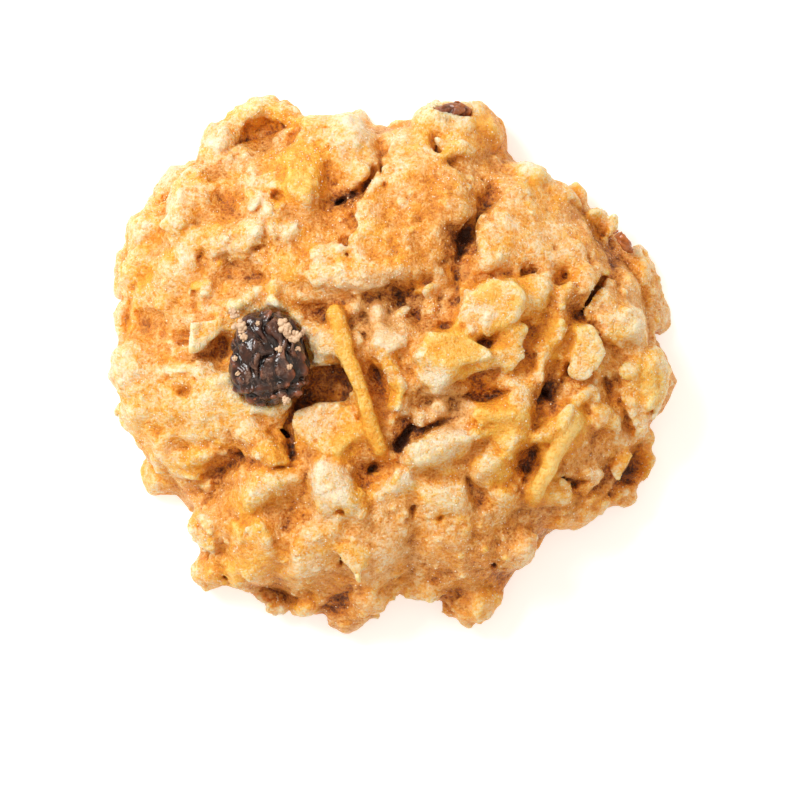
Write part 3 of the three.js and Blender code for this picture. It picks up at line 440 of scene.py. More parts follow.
# Where the dough is more or less baked, or golden: x, y, reach, bake, gold. Some patches are painted shade
# and two are painted light, as marked.
TONE_PATCHES = [
    (-13.7, -11.0, 2.6, 0.05, 0.7),
    (-18.1, -18.2, 2.2, 0.05, 0.5),
    (-5.6, -10.8, 1.9, 0.04, 1.0),
    (-3.8, -16.2, 1.9, 0.04, 0.7),
    (0.4, -3.8, 1.6, 0.0, 0.8),
    (7.8, 2.2, 3.2, 0.0, 0.8),
    (12.6, 3.6, 1.9, 0.12, 0.9),
    (11.9, 9.2, 1.7, 0.0, 0.7),
    (15.6, 7.6, 0.9, 0.1, 0.7),
    (-27.0, -14.0, 4.0, -0.06, 0.0),
    (16.4, 10.2, 1.2, 0.04, 0.8),
    (10.2, -2.2, 1.6, 0.1, 0.5),
    (12.8, -6.0, 3.2, 0.0, 0.9),
    (20.6, 3.0, 4.6, -0.05, 0.3),
    (20.5, -8.0, 4.2, -0.05, 0.5),
    (17.1, -12.4, 2.2, 0.1, 0.5),
    (14.2, -13.0, 2.4, 0.03, 0.5),
    (31.5, -3.0, 3.6, -0.05, 0.4),
    (31.0, -13.0, 2.4, 0.14, 0.5),
    # Painted shade: the lower rim and the lower right, which face away from the key lamp.
    (27.0, -17.0, 7.0, 0.18, 0.1),
    (10.0, -29.0, 7.0, 0.16, 0.2),
    (-5.5, -30.0, 5.4, 0.12, 0.2),
    (-6.5, -29.8, 1.6, 0.1, 1.0),
    (-21.8, -26.5, 2.6, 0.06, 0.6),
    (-10.8, 24.3, 3.4, 0.0, 0.7),
    # Painted shade in the crevice by the dark hole.
    (-5.3, 20.5, 1.5, 0.25, 0.2),
    (-18.5, 27.5, 4.0, 0.0, -0.3),
    (-20.2, 19.6, 1.8, 0.1, 0.3),
    (-32.0, 12.0, 3.0, 0.04, 0.1),
    (-32.2, 3.8, 3.6, 0.03, 0.1),
    (6.3, 22.2, 3.4, 0.14, 0.3),
    (13.0, 21.4, 3.0, 0.08, 0.15),
    (18.0, 17.0, 5.4, -0.02, -0.05),
    (12.8, 29.6, 3.0, 0.24, 0.6),
    (26.4, 13.6, 3.2, 0.06, 0.1),
    # Painted shade: the two bowls, beige and less golden where shade falls.
    (-1.0, 7.0, 4.4, 0.03, -0.5),
    (7.0, -5.5, 2.8, 0.0, -0.8),
    # Painted shade on the lower slopes, away from the key lamp.
    (8.5, -22.5, 5.6, 0.05, 0.0),
    (19.0, -18.5, 5.0, 0.08, 0.0),
    (-17.5, 15.8, 4.0, 0.0, -0.2),
    # Painted light: paler where the faces of two flakes turn towards the key lamp.
    (11.0, 5.6, 2.4, -0.12, -0.7),
    (5.6, -1.4, 1.6, -0.12, -0.9),
    (-9.0, -7.4, 2.4, 0.0, -0.4),
    (-7.0, -15.2, 2.2, -0.05, -0.3),
    # Painted shade: beside the crevice and under the lower edge of the upper mass.
    (6.0, 15.0, 5.0, 0.14, 0.1),
    (0.5, 10.8, 4.0, 0.1, 0.4),
    (-15.0, -21.0, 8.0, 0.05, 0.0),
    # Painted shade on the lower slope.
    (17.0, -26.0, 6.0, 0.1, 0.1),
]

# The dough browns towards the tray that it was baked on.
FOOT_BAKE = 0.3
FOOT_HEIGHT = 7.0

# ---------------------------------------------------------------- crumb

GRID_STEP = 0.27
GRID_PAST = 1.0  # how far the grid goes past the solids
MARGIN = 2.2  # past a form, where it still bears on the surface
BAND = 1.6  # from the surface, where the relief is worked out

# Bends of the forms: size, and how far they shift.
WARPS = [
    (5.0, 0.5),
    (2.4, 0.2),
]
WARP_SKIP = 3  # the bends are worked out on every third grid point

# Relief of the crumb: size and height of its swells, and of its clustered lumps.
SWELLS = [
    (9.0, 0.85),
    (3.4, 0.32),
    (1.5, 0.18),
    (0.7, 0.08),
]
CLUSTERS = [
    (2.6, 0.3),
    (1.2, 0.15),
]
ROUGHER = ((-22, 8), (1.25, 1.1))  # from left to right: x, and the share of the relief there
CLUSTER_BEND = 0.35  # of their size, by which the clusters are bent out of true
CLUSTER_TOP = 0.6  # share of its height that a cluster's middle has above the surface
CLUSTER_FALL = 1.6  # how fast that falls off

# What is scattered over the dough. Each pair is a range for random draws.
OAT_COUNT = 90
OAT_HALF = (0.8, 1.8)
OAT_SHARE = (0.45, 0.8)  # half width over half length
OAT_THICKNESS = (0.5, 0.9)
OAT_EDGE = 0.4  # radius of its edges over its thickness
OAT_LEAN = 0.3  # how far it leans from the surface
OAT_RISE = (-0.4, -0.1)  # of its middle above the surface
OAT_CRUMB = 0.35
OAT_BAKE = (-0.08, 0.08)
OAT_GOLD = (-0.2, 0.6)
OAT_BLEND = 0.4
CRUMB_COUNT = 450
CRUMB_HALF = (0.25, 0.5)
CRUMB_SIDES = (0.7, 1.2)  # each half size over CRUMB_HALF
CRUMB_RISE = (-0.2, 0.05)
CRUMB_BAKE = (-0.15, 0.1)
CRUMB_GOLD = (-0.3, 0.4)
CRUMB_BLEND = 0.35
PORE_COUNT = 200
PORE_HALF = (0.2, 0.4)
PORE_SIDES = (0.8, 1.4)  # each half size over PORE_HALF
PORE_BLEND = 0.2
SPOT_LOWEST = 0.8  # above the ground
SPOT_CRUMB = 0.5  # how crumbly the dough must be there
# SPOT_BAKE limits the bake tone, painted shade counted in, so spots keep out of the painted dark places.
SPOT_BAKE = 0.15  # how baked it may be

# How far round each point the dough's solidness is looked at, from fine folds to deep gaps. Where more is
# solid round it the dough is coloured darker and more golden, and paler on crests: painted shade and painted
# light.
SOLID_REACHES = {"fold": 0.5, "hollow": 1.6, "deep": 3.6}

FACES = 190000  # triangles that are left of the dough's surface

# ---------------------------------------------------------------- raisins

# x, y, half sizes, heading, rise of the middle above the dome, taper.
RAISINS = {
    "raisin_1": (-15.1, 0.8, (6.1, 5.1, 3.3), 97, 0.8, -0.16),
    "raisin_2": (7.5, 31.2, (2.8, 1.6, 1.8), 14, 5.0, 0.1),
    "raisin_3": (29.2, 15.3, (1.9, 0.9, 1.3), -52, 2.4, 0.1),
}
RAISIN_POWER = 2.6  # 2 is a ball and more is boxier
RAISIN_GAPS = {"raisin_1": -0.1, "raisin_2": 0.25, "raisin_3": -0.2}  # below 0 the dough laps over

# Colours of their skins, from the folds' crests to their bottoms: the browner crests and near black bottoms
# are painted light and shade.
RAISIN_STOPS = [(0.0, "#8e4a2a"), (0.25, "#4f2a1c"), (0.5, "#2b1510"), (0.8, "#110807")]
BROWN_RAISIN_STOPS = [(0.0, "#b86a34"), (0.25, "#8a4a26"), (0.5, "#5c2e1a"), (0.8, "#2e160e")]

# ---------------------------------------------------------------- noise

# The corners of a cell of a grid.
CORNERS = [(i, j, k) for i in (0, 1) for j in (0, 1) for k in (0, 1)]
NOISE_GAIN = 1.6  # brings noise to between about -1 and 1


def corner_weight(corner, part):
    """How much a cell's corner counts at points that lie part of the way through the cell."""
    weight = 1.0
    for step, share in zip(corner, part):
        weight = weight * (share if step else 1 - share)
    return weight


class Lattice:
    """Random draws tied to the points of a lattice."""

    SIZE = 256

    def __init__(self, seed):
        self.draw = np.random.default_rng(seed)
        self.order = np.tile(self.draw.permutation(self.SIZE), 2)

    def number(self, cell):
        x, y, z = (c & (self.SIZE - 1) for c in cell)
        return self.order[self.order[self.order[x] + y] + z]

    def split(self, points, size):
        """The cell that each point lies in, and how far into it."""
        scaled = [(p / size).astype(np.float32) for p in points]
        cell = [np.floor(p).astype(np.int32) for p in scaled]
        return cell, [p - c for p, c in zip(scaled, cell)]


class Noise(Lattice):
    """Gradient noise, with its own draw of directions."""

    def __init__(self, seed):
        super().__init__(seed)
        slopes = self.draw.normal(size=(self.SIZE, 3))
        slopes /= np.linalg.norm(slopes, axis=1, keepdims=True)
        self.slopes = slopes.astype(np.float32)

    def corner(self, cell, away):
        """What the lattice corner at cell gives a point that lies away from it."""
        slope = self.slopes[self.number(cell)]
        return slope[:, 0] * away[0] + slope[:, 1] * away[1] + slope[:, 2] * away[2]

    def __call__(self, points, size):
        cell, part = self.split(points, size)
        ease = [f * f * f * (f * (f * 6 - 15) + 10) for f in part]
        total = np.zeros_like(part[0])
        for corner in CORNERS:
            near = [c + step for c, step in zip(cell, corner)]
            away = [p - step for p, step in zip(part, corner)]
            total += corner_weight(corner, ease) * self.corner(near, away)
        return total * NOISE_GAIN


class Cells(Lattice):
    """How far points lie from the nearest of seeds scattered one to a cell, as a share of the cell."""

    def __init__(self, seed):
        super().__init__(seed)
        self.seeds = self.draw.uniform(0.1, 0.9, size=(self.SIZE, 3)).astype(np.float32)

    def __call__(self, points, size):
        cell, part = self.split(points, size)
        nearest = np.full(len(part[0]), FAR, np.float32)
        for step in np.ndindex(3, 3, 3):
            seeds = self.seeds[self.number([c + s - 1 for c, s in zip(cell, step)])]
            away = sum((seeds[:, i] + step[i] - 1 - part[i]) ** 2 for i in range(3))
            nearest = np.minimum(nearest, away)
        return np.sqrt(nearest)


# ---------------------------------------------------------------- distances


def soft_min(a, b, size):
    overlap = np.maximum(size - np.abs(a - b), 0)
    return np.minimum(a, b) - overlap * overlap / (4 * size)


def soft_max(a, b, size):
    return -soft_min(-a, -b, size)


def rim_radius(x, y):
    direction = np.degrees(np.arctan2(y, x))
    radius = np.full(np.shape(direction), RIM_RADIUS)
    for at, reach, spread in BROAD_LOBES:
        turn = (direction - at + 180) % 360 - 180
        radius = radius + reach * np.exp(-((turn / spread) ** 2))
    return radius


def dome_height(x, y):
    out = np.minimum(np.hypot(x, y) / rim_radius(x, y), 1)
    share = (1 - out**DOME_POWER) ** (1 / DOME_POWER)
    return RIM_HEIGHT + (DOME_HEIGHT - RIM_HEIGHT) * share


def dome_distance(x, y, z):
    above = z - RIM_HEIGHT
    height = np.where(above > 0, DOME_HEIGHT - RIM_HEIGHT, UNDERCUT_HEIGHT)
    out = np.hypot(x, y)
    norm = (out / rim_radius(x, y)) ** DOME_POWER + (np.abs(above) / height) ** DOME_POWER
    norm = np.maximum(norm, 1e-4) ** (1 / DOME_POWER)
    return (1 - 1 / norm) * np.hypot(out, above) * DOME_SHARE


def ball_distance(local, half):
    near = np.sqrt(sum((p / h) ** 2 for p, h in zip(local, half)))
    slope = np.sqrt(sum((p / h**2) ** 2 for p, h in zip(local, half)))
    return near * (near - 1) / np.maximum(slope, 1e-4)


def slab_distance(outline, z, thickness, edge):
    """A slab of the thickness given, whose outline is a distance in plan, with rounded edges."""
    across = outline + edge
    up = np.abs(z) - thickness / 2 + edge
    outside = np.hypot(np.maximum(across, 0), np.maximum(up, 0))
    return outside + np.minimum(np.maximum(across, up), 0) - edge


def axes_of(heading, pitch=0.0):
    """A form's own axes, as the columns of a matrix."""
    turned = Euler((0.0, -math.radians(pitch), math.radians(heading)), "XYZ")
    return np.array(turned.to_matrix())


def axes_on(normal, heading):
    """Axes of a form that lies on a surface with that normal."""
    along = np.array([math.cos(heading), math.sin(heading), 0.0])
    along -= normal * (along @ normal)
    along /= max(np.linalg.norm(along), 1e-6)
    return np.column_stack([along, np.cross(normal, along), normal])


class Form:
    """A shape at its place: its axes, its half sizes and its distance, negative inside.

    It also says how baked, golden and crumbly it is, with any painted shade that it gives the dough counted
    in with the bake, and its share of the field's bends.
    """

    def __init__(self, centre, axes, half, distance, bake=0.0, gold=0.0, crumb=1.0, warp=1.0):
        self.centre = np.array(centre, float)
        self.axes = axes
        self.half = np.array(half, float)
        self.distance = distance
        self.bake = bake
        self.gold = gold
        self.crumb = crumb
        self.warp = warp


def ball(centre, axes, half, **tones):
    return Form(centre, axes, half, lambda p: ball_distance(p, half), **tones)


def lump_form(lump, **tones):
    x, y, along, across, heading, rise = lump
    half = (along, across, min(along, across) * LUMP_HEIGHT)
    return ball((x, y, dome_height(x, y) + rise - half[2]), axes_of(heading), half, **tones)


def pit_form(pit, **tones):
    """A bowl as deep as given, open well above the dome."""
    x, y, along, across, heading, depth = pit
    low = max(dome_height(x, y) - depth, LOWEST_FLOOR)
    half = (along, across, (dome_height(x, y) + PIT_TOP - low) / 2)
    return ball((x, y, low + half[2]), axes_of(heading), half, **tones)


def crack_form(crack, **tones):
    """A wedge between two points, open above the dome."""
    x0, y0, x1, y1, half_width, depth = crack
    length = math.hypot(x1 - x0, y1 - y0) / 2 + half_width
    middle = ((x0 + x1) / 2, (y0 + y1) / 2)
    heading = math.degrees(math.atan2(y1 - y0, x1 - x0))
    half = (length, half_width, (depth + PIT_TOP) / 2)
    centre = (*middle, dome_height(*middle) + (PIT_TOP - depth) / 2)
    return ball(centre, axes_of(heading), half, **tones)


def ridge_form(ridge, **tones):
    """A sausage that follows the dome between two points."""
    x0, y0, x1, y1, half_width, rise = ridge
    start = np.array((x0, y0, dome_height(x0, y0) + rise - half_width))
    end = np.array((x1, y1, dome_height(x1, y1) + rise - half_width))
    length = np.linalg.norm(end - start)
    along = (end - start) / length
    side = np.cross((0, 0, 1), along)
    side /= np.linalg.norm(side)

    def distance(p):
        past = np.maximum(np.abs(p[0]) - length / 2, 0)
        return np.sqrt(past**2 + p[1] ** 2 + p[2] ** 2) - half_width

    axes = np.column_stack([along, side, np.cross(along, side)])
    half = (length / 2 + half_width, half_width, half_width)
    return Form((start + end) / 2, axes, half, distance, **tones)


def outline_of(corners, softness):
    """The distance in plan from a many-sided outline, given its corners about its middle."""
    ring = corners[np.argsort(np.arctan2(corners[:, 1], corners[:, 0]))]
    sides = np.roll(ring, -1, axis=0) - ring
    outward = np.column_stack([sides[:, 1], -sides[:, 0]])
    outward /= np.linalg.norm(outward, axis=1, keepdims=True)

    def distance(x, y):
        outline = np.full(np.broadcast(x, y).shape, -FAR, np.float32)
        for corner, way in zip(ring, outward):
            outline = soft_max(outline, (x - corner[0]) * way[0] + (y - corner[1]) * way[1], softness)
        return outline

    return distance


def terrace_form(corners, low, high, lean, level=0.0, ground=NO_FLOOR, **tones):
    """What lies inside an outline, between two heights above the dome.

    Its sides lean outwards going up by the slope given, and meet the outline at the level given.
    """
    corners = np.array(corners)
    middle = corners.mean(axis=0)
    outline = outline_of(corners - middle, MASS_EDGE)
    base = dome_height(*middle)

    def distance(p):
        x, y = p[0] + middle[0], p[1] + middle[1]
        z = p[2] + base
        above = z - dome_height(x, y)
        across = outline(p[0], p[1]) - lean * (above - level)
        up = np.minimum(above - (low + high) / 2, z - ground - (high - low) / 2)
        share = 1 / math.hypot(1, lean)
        return slab_distance(across * share, up * SLOPE_SHARE, (high - low) * SLOPE_SHARE, MASS_EDGE)

    spread_out = abs(lean) * MASS_THICKNESS
    half = (*np.abs(corners - middle).max(axis=0) + spread_out, max(-low, high) + MASS_THICKNESS)
    return Form((*middle, base), np.eye(3), half, distance, **tones)


def mass_form(mass):
    corners, rise, bake, gold, crumb = mass
    tones = {"bake": bake, "gold": gold, "crumb": crumb}
    return terrace_form(corners, rise - MASS_THICKNESS, rise, -MASS_LEAN, rise / 2, **tones)


def cavity_form(cavity):
    corners, depth, bake, gold = cavity
    lean = CAVITY_LEAN if depth < HOLE_DEPTH else HOLE_LEAN
    return terrace_form(corners, -depth, CAVITY_TOP, lean, ground=LOWEST_FLOOR, bake=bake, gold=gold)


def plate_form(plate, **tones):
    """A plate with straight sides and rounded edges, tilted on the dome."""
    corners, thickness, rise, heading, tilt = plate
    corners = np.array(corners)
    middle = corners.mean(axis=0)
    axes = axes_of(heading, tilt)
    flat = (corners - middle) @ axes[:2, :2]
    outline = outline_of(flat, PLATE_EDGE)

    def distance(p):
        return slab_distance(outline(p[0], p[1]), p[2], thickness, PLATE_EDGE)

    half = (*np.abs(flat).max(axis=0), thickness / 2)
    centre = (*middle, dome_height(*middle) + rise - thickness / 2)
    return Form(centre, axes, half, distance, **tones)


def edge_flake_form(flake):
    start, end, wide, narrow, rise, bake = flake
    start = np.array(start)
    chord = np.array(end) - start
    length = np.hypot(*chord)
    middle = start + chord / 2
    heading = math.degrees(math.atan2(chord[1], chord[0]))
    along = chord / length

    def distance(p):
        share = np.clip(p[0] / length + 0.5, 0, 1)
        top = dome_height(middle[0] + along[0] * p[0], middle[1] + along[1] * p[0]) + rise
        top = top - EDGE_FLAKE_DIP * (2 * share - 1) ** 4
        past = np.maximum(np.abs(p[0]) - length / 2, 0)
        width = wide + (narrow - wide) * share
        outline = np.hypot(p[1], past) - width / 2
        up = p[2] - top + EDGE_FLAKE_DEPTH / 2
        return slab_distance(outline, up, EDGE_FLAKE_DEPTH, EDGE_FLAKE_EDGE)

    half = (length / 2, wide / 2, DOME_HEIGHT)
    return Form((*middle, 0), axes_of(heading), half, distance, bake=bake, **EDGE_FLAKE_TONES)


# ---------------------------------------------------------------- the field


class Field:
    """Distances on a grid, with how baked and how darkened by painted shade, how golden and how crumbly the
    dough is at each point.
    """

    def __init__(self, low, high, step):
        self.low = np.array(low, float)
        self.step = step
        counts = np.ceil((np.array(high) - self.low) / step).astype(int) + 1
        self.axes = [self.low[i] + step * np.arange(counts[i]) for i in range(3)]
        self.distance = np.full(counts, FAR, np.float32)
        self.tones = {name: np.zeros(counts, np.float32) for name in ("bake", "gold", "crumb")}
        self.tones["crumb"][:] = 1
        self.shift = None

    def warp(self, layers, seed):
        """Shifts that bend every later form: the size of the bends and how far they go."""
        coarse = [axis[::WARP_SKIP] for axis in self.axes]
        grid = np.meshgrid(*coarse, indexing="ij")
        points = [g.ravel().astype(np.float32) for g in grid]
        shifts = []
        for axis in range(3):
            shift = np.zeros(len(points[0]), np.float32)
            for number, (size, reach) in enumerate(layers):
                shift += reach * Noise(seed + 10 * axis + number)(points, size)
            shifts.append(spread(shift.reshape(grid[0].shape), self.distance.shape, WARP_SKIP))
        self.shift = shifts

    def window(self, form, margin=MARGIN):
        """The grid's part round a form, and its points in the form's own axes."""
        reach = np.abs(form.axes) @ form.half + margin
        shape = np.array(self.distance.shape)
        first = np.floor((form.centre - reach - self.low) / self.step).astype(int).clip(0, shape)
        last = (np.ceil((form.centre + reach - self.low) / self.step).astype(int) + 1).clip(0, shape)
        view = tuple(slice(a, b) for a, b in zip(first, last))
        line = [self.axes[i][view[i]].astype(np.float32) - np.float32(form.centre[i]) for i in range(3)]
        x, y, z = line[0][:, None, None], line[1][None, :, None], line[2][None, None, :]
        if self.shift and form.warp:
            x, y, z = (p + form.warp * shift[view] for p, shift in zip((x, y, z), self.shift))
        m = form.axes.astype(np.float32)
        return view, [m[0, i] * x + m[1, i] * y + m[2, i] * z for i in range(3)]

    def colour(self, view, share, form):
        """Gives a part of the grid the form's tones, by the share that belongs to it."""
        for name, volume in self.tones.items():
            tone = volume[view]
            tone += share * (getattr(form, name) - tone)

    def join(self, form, blend):
        view, local = self.window(form)
        distance = form.distance(local)
        old = self.distance[view]
        self.colour(view, np.clip((old - distance) / blend + 0.5, 0, 1), form)
        self.distance[view] = soft_min(old, distance, blend)

    def cut(self, form, blend):
        view, local = self.window(form)
        distance = form.distance(local)
        old = self.distance[view]
        # A cut with tones tints the dough round it; for cavities, pits, cracks and raisin sockets that tint
        # is painted shade.
        if form.bake or form.gold:
            self.colour(view, np.clip(0.5 - distance / (2 * blend), 0, 1), form)
        self.distance[view] = soft_max(old, -distance, blend)

    def points(self, where):
        """The places of some of the grid's points."""
        return [self.axes[i][w].astype(np.float32) for i, w in enumerate(where)]

    def relieve(self, swells, clusters, seed):
        """Swells of the crumb and lumps pressed together, in the band near the surface."""
        where = np.nonzero(np.abs(self.distance) < BAND)
        points = self.points(where)
        height = np.zeros(len(points[0]), np.float32)
        for number, (size, high) in enumerate(swells):
            height += high * Noise(seed + number)(points, size)
        for number, (size, high) in enumerate(clusters):
            bends = [Noise(seed + 20 + 3 * number + axis)(points, size) for axis in range(3)]
            bent = [p + CLUSTER_BEND * size * bend for p, bend in zip(points, bends)]
            height += high * (CLUSTER_TOP - Cells(seed + 40 + number)(bent, size) ** 2 * CLUSTER_FALL)
        self.distance[where] -= height * self.tones["crumb"][where]

    def blurred(self, reach):
        """The share of solid round each point, within reach."""
        solid = np.clip(0.5 - self.distance / self.step, 0, 1).astype(np.float32)
        cells = max(int(round(reach / self.step)), 1)
        for axis in range(3):
            for _ in range(2):
                solid = box_mean(solid, cells, axis)
        return solid

    def sample(self, volume, points):
        """Values of a volume on this grid at points, between its grid points."""
        at = (points - self.low) / self.step
        limit = np.array(self.distance.shape) - 2
        cell = np.clip(np.floor(at).astype(int), 0, limit)
        part = np.clip(at - cell, 0, 1)
        total = np.zeros(len(points))
        for corner in CORNERS:
            total += corner_weight(corner, part.T) * volume[tuple((cell + corner).T)]
        return total

    def slopes(self, points):
        """Directions straight out of the surface at points near it."""
        slope = np.zeros((len(points), 3))
        for axis in range(3):
            beside = np.zeros(3)
            beside[axis] = self.step
            ahead = self.sample(self.distance, points + beside)
            slope[:, axis] = ahead - self.sample(self.distance, points - beside)
        return slope / np.maximum(np.linalg.norm(slope, axis=1, keepdims=True), 1e-6)

    def spots(self, count, draw):
        """Random places on the surface, spread evenly by area, and the directions out of it."""
        near = np.argwhere(np.abs(self.distance) < self.step * 0.6)
        near = near[near[:, 2] * self.step + self.low[2] > SPOT_LOWEST]
        near = near[self.tones["crumb"][tuple(near.T)] > SPOT_CRUMB]
        near = near[self.tones["bake"][tuple(near.T)] < SPOT_BAKE]
        chosen = near[draw.choice(len(near), count, replace=False)]
        points = chosen * self.step + self.low
        slopes = self.slopes(points)
        return points - slopes * self.sample(self.distance, points)[:, None], slopes


def spread(coarse, shape, skip):
    """Values on every skip-th grid point, spread over the whole grid."""
    for axis in range(3):
        at = np.arange(shape[axis]) / skip
        first = np.minimum(at.astype(int), coarse.shape[axis] - 2)
        share = np.clip(at - first, 0, 1).astype(np.float32)
        share = share.reshape([-1 if i == axis else 1 for i in range(3)])
        before = np.take(coarse, first, axis=axis)
        coarse = before + share * (np.take(coarse, first + 1, axis=axis) - before)
    return coarse


def box_mean(volume, cells, axis):
    """The mean over a run of 2 cells + 1 along one axis."""
    width = [(0, 0)] * 3
    width[axis] = (cells + 1, cells)
    total = np.cumsum(np.pad(volume, width, mode="edge"), axis=axis, dtype=np.float64)
    run = 2 * cells + 1
    ahead = np.take(total, range(run, total.shape[axis]), axis=axis)
    behind = np.take(total, range(total.shape[axis] - run), axis=axis)
    return ((ahead - behind) / run).astype(np.float32)


# ---------------------------------------------------------------- the surface of a field

# A cell's edges: pairs of its corners that differ along one axis.
EDGES = [(a, b) for a, b in itertools.combinations(CORNERS, 2) if sum(x != y for x, y in zip(a, b)) == 1]


def surface_net(field):
    """Points and four-sided faces of the surface where the field's distance is zero."""
    distance = field.distance
    inside = distance < 0
    shape = [n - 1 for n in distance.shape]
    count = np.zeros(shape, np.uint8)
    for i, j, k in CORNERS:
        count += inside[i : i + shape[0], j : j + shape[1], k : k + shape[2]]
    mixed = (count > 0) & (count < 8)
    cells = np.argwhere(mixed)
    number = np.full(shape, -1, np.int64)
    number[mixed] = np.arange(len(cells))
    total = np.zeros((len(cells), 3))
    crossings = np.zeros(len(cells))
    for a, b in EDGES:
        at_a = distance[tuple((cells + a).T)]
        at_b = distance[tuple((cells + b).T)]
        cross = (at_a < 0) != (at_b < 0)
        share = at_a[cross] / (at_a[cross] - at_b[cross])
        total[cross] += np.array(a) + share[:, None] * (np.array(b) - np.array(a))
        crossings[cross] += 1
    points = field.low + field.step * (cells + total / crossings[:, None])
    faces = [net_faces(inside, number, axis) for axis in range(3)]
    return points, np.concatenate(faces)


def net_faces(inside, number, axis):
    """The faces that cross the grid's edges along one axis."""
    second, third = (axis + 1) % 3, (axis + 2) % 3
    before = np.take(inside, range(inside.shape[axis] - 1), axis=axis)
    after = np.take(inside, range(1, inside.shape[axis]), axis=axis)
    edges = np.argwhere(before != after)
    for other in (second, third):
        edges = edges[(edges[:, other] > 0) & (edges[:, other] < inside.shape[other] - 1)]
    outward = before[tuple(edges.T)]
    ring = []
    for i, j in ((1, 1), (0, 1), (0, 0), (1, 0)):
        cell = edges.copy()
        cell[:, second] -= i
        cell[:, third] -= j
        ring.append(number[tuple(cell.T)])
    faces = np.stack(ring, axis=1)
    faces[~outward] = faces[~outward, ::-1]
    return faces


def largest_piece(points, faces):
    """The points and faces of the largest connected piece alone."""
    label = np.arange(len(points))
    ends = np.concatenate([faces[:, [0, 1]], faces[:, [1, 2]], faces[:, [2, 3]], faces[:, [3, 0]]])
    while True:
        lowest = np.minimum(label[ends[:, 0]], label[ends[:, 1]])
        updated = label.copy()
        np.minimum.at(updated, ends[:, 0], lowest)
        np.minimum.at(updated, ends[:, 1], lowest)
        updated = updated[updated]
        if np.array_equal(updated, label):
            break
        label = updated
    largest = np.bincount(label).argmax()
    kept = label == largest
    number = np.cumsum(kept) - 1
    return points[kept], number[faces[kept[faces[:, 0]]]]


def mesh_of(name, points, faces):
    mesh = bpy.data.meshes.new(name)
    mesh.vertices.add(len(points))
    mesh.vertices.foreach_set("co", (points * MM).astype(np.float32).ravel())
    mesh.loops.add(faces.size)
    mesh.loops.foreach_set("vertex_index", faces.astype(np.int32).ravel())
    mesh.polygons.add(len(faces))
    mesh.polygons.foreach_set("loop_start", np.arange(len(faces), dtype=np.int32) * faces.shape[1])
    mesh.update(calc_edges=True)
    mesh.validate()
    return mesh


def object_of(name, mesh):
    piece = bpy.data.objects.new(name, mesh)
    bpy.context.scene.collection.objects.link(piece)
    return piece


def thinned(piece, most):
    """Collapses the flattest faces until about the number of triangles given is left."""
    triangles = sum(len(f.vertices) - 2 for f in piece.data.polygons)
    if triangles > most:
        collapse = piece.modifiers.new("collapse", "DECIMATE")
        collapse.ratio = most / triangles
        shown = piece.evaluated_get(bpy.context.evaluated_depsgraph_get())
        mesh = bpy.data.meshes.new_from_object(shown)
        piece.modifiers.clear()
        piece.data = mesh
    return piece


def smooth(piece):
    piece.data.polygons.foreach_set("use_smooth", np.ones(len(piece.data.polygons), bool))
    return piece


def corners_of(mesh):
    flat = np.zeros(len(mesh.vertices) * 3, np.float32)
    mesh.vertices.foreach_get("co", flat)
    return flat.reshape(-1, 3).astype(float) / MM


def set_tone(mesh, name, values):
    attribute = mesh.attributes.new(name, "FLOAT", "POINT")
    attribute.data.foreach_set("value", np.asarray(values, np.float32))


def tone_of(mesh, name):
    values = np.zeros(len(mesh.vertices), np.float32)
    mesh.attributes[name].data.foreach_get("value", values)
    return values


# ---------------------------------------------------------------- building the dough


def random_tones(draw):
    return {"bake": draw.uniform(*RANDOM_BAKE), "gold": draw.uniform(*RANDOM_GOLD)}


def oat_distance(along, across, thickness):
    """The distance from a flat oval flake."""

    def distance(p):
        outline = (np.hypot(p[0] / along, p[1] / across) - 1) * across
        return slab_distance(outline, p[2], thickness, thickness * OAT_EDGE)

    return distance


def scatter_oats(field, draw):
    places, slopes = field.spots(OAT_COUNT, draw)
    for place, slope in zip(places, slopes):
        along = draw.uniform(*OAT_HALF)
        across = along * draw.uniform(*OAT_SHARE)
        thickness = draw.uniform(*OAT_THICKNESS)
        lean = slope + draw.normal(scale=OAT_LEAN, size=3)
        lean /= np.linalg.norm(lean)
        axes = axes_on(lean, draw.uniform(0, math.tau))
        centre = place + slope * draw.uniform(*OAT_RISE)
        distance = oat_distance(along, across, thickness)
        form = Form(centre, axes, (along, across, thickness / 2), distance, crumb=OAT_CRUMB, warp=0.0)
        form.bake = draw.uniform(*OAT_BAKE)
        form.gold = draw.uniform(*OAT_GOLD)
        field.join(form, OAT_BLEND)


def scatter_crumbs(field, draw):
    places, slopes = field.spots(CRUMB_COUNT, draw)
    for place, slope in zip(places, slopes):
        half = draw.uniform(*CRUMB_HALF) * draw.uniform(*CRUMB_SIDES, size=3)
        axes = axes_on(slope, draw.uniform(0, math.tau))
        form = ball(place + slope * draw.uniform(*CRUMB_RISE), axes, half, warp=0.0)
        form.bake = draw.uniform(*CRUMB_BAKE)
        form.gold = draw.uniform(*CRUMB_GOLD)
        field.join(form, CRUMB_BLEND)


def scatter_pores(field, draw):
    places, slopes = field.spots(PORE_COUNT, draw)
    for place, slope in zip(places, slopes):
        half = draw.uniform(*PORE_HALF) * draw.uniform(*PORE_SIDES, size=3)
        axes = axes_on(slope, draw.uniform(0, math.tau))
        field.cut(ball(place, axes, half, warp=0.0), PORE_BLEND)


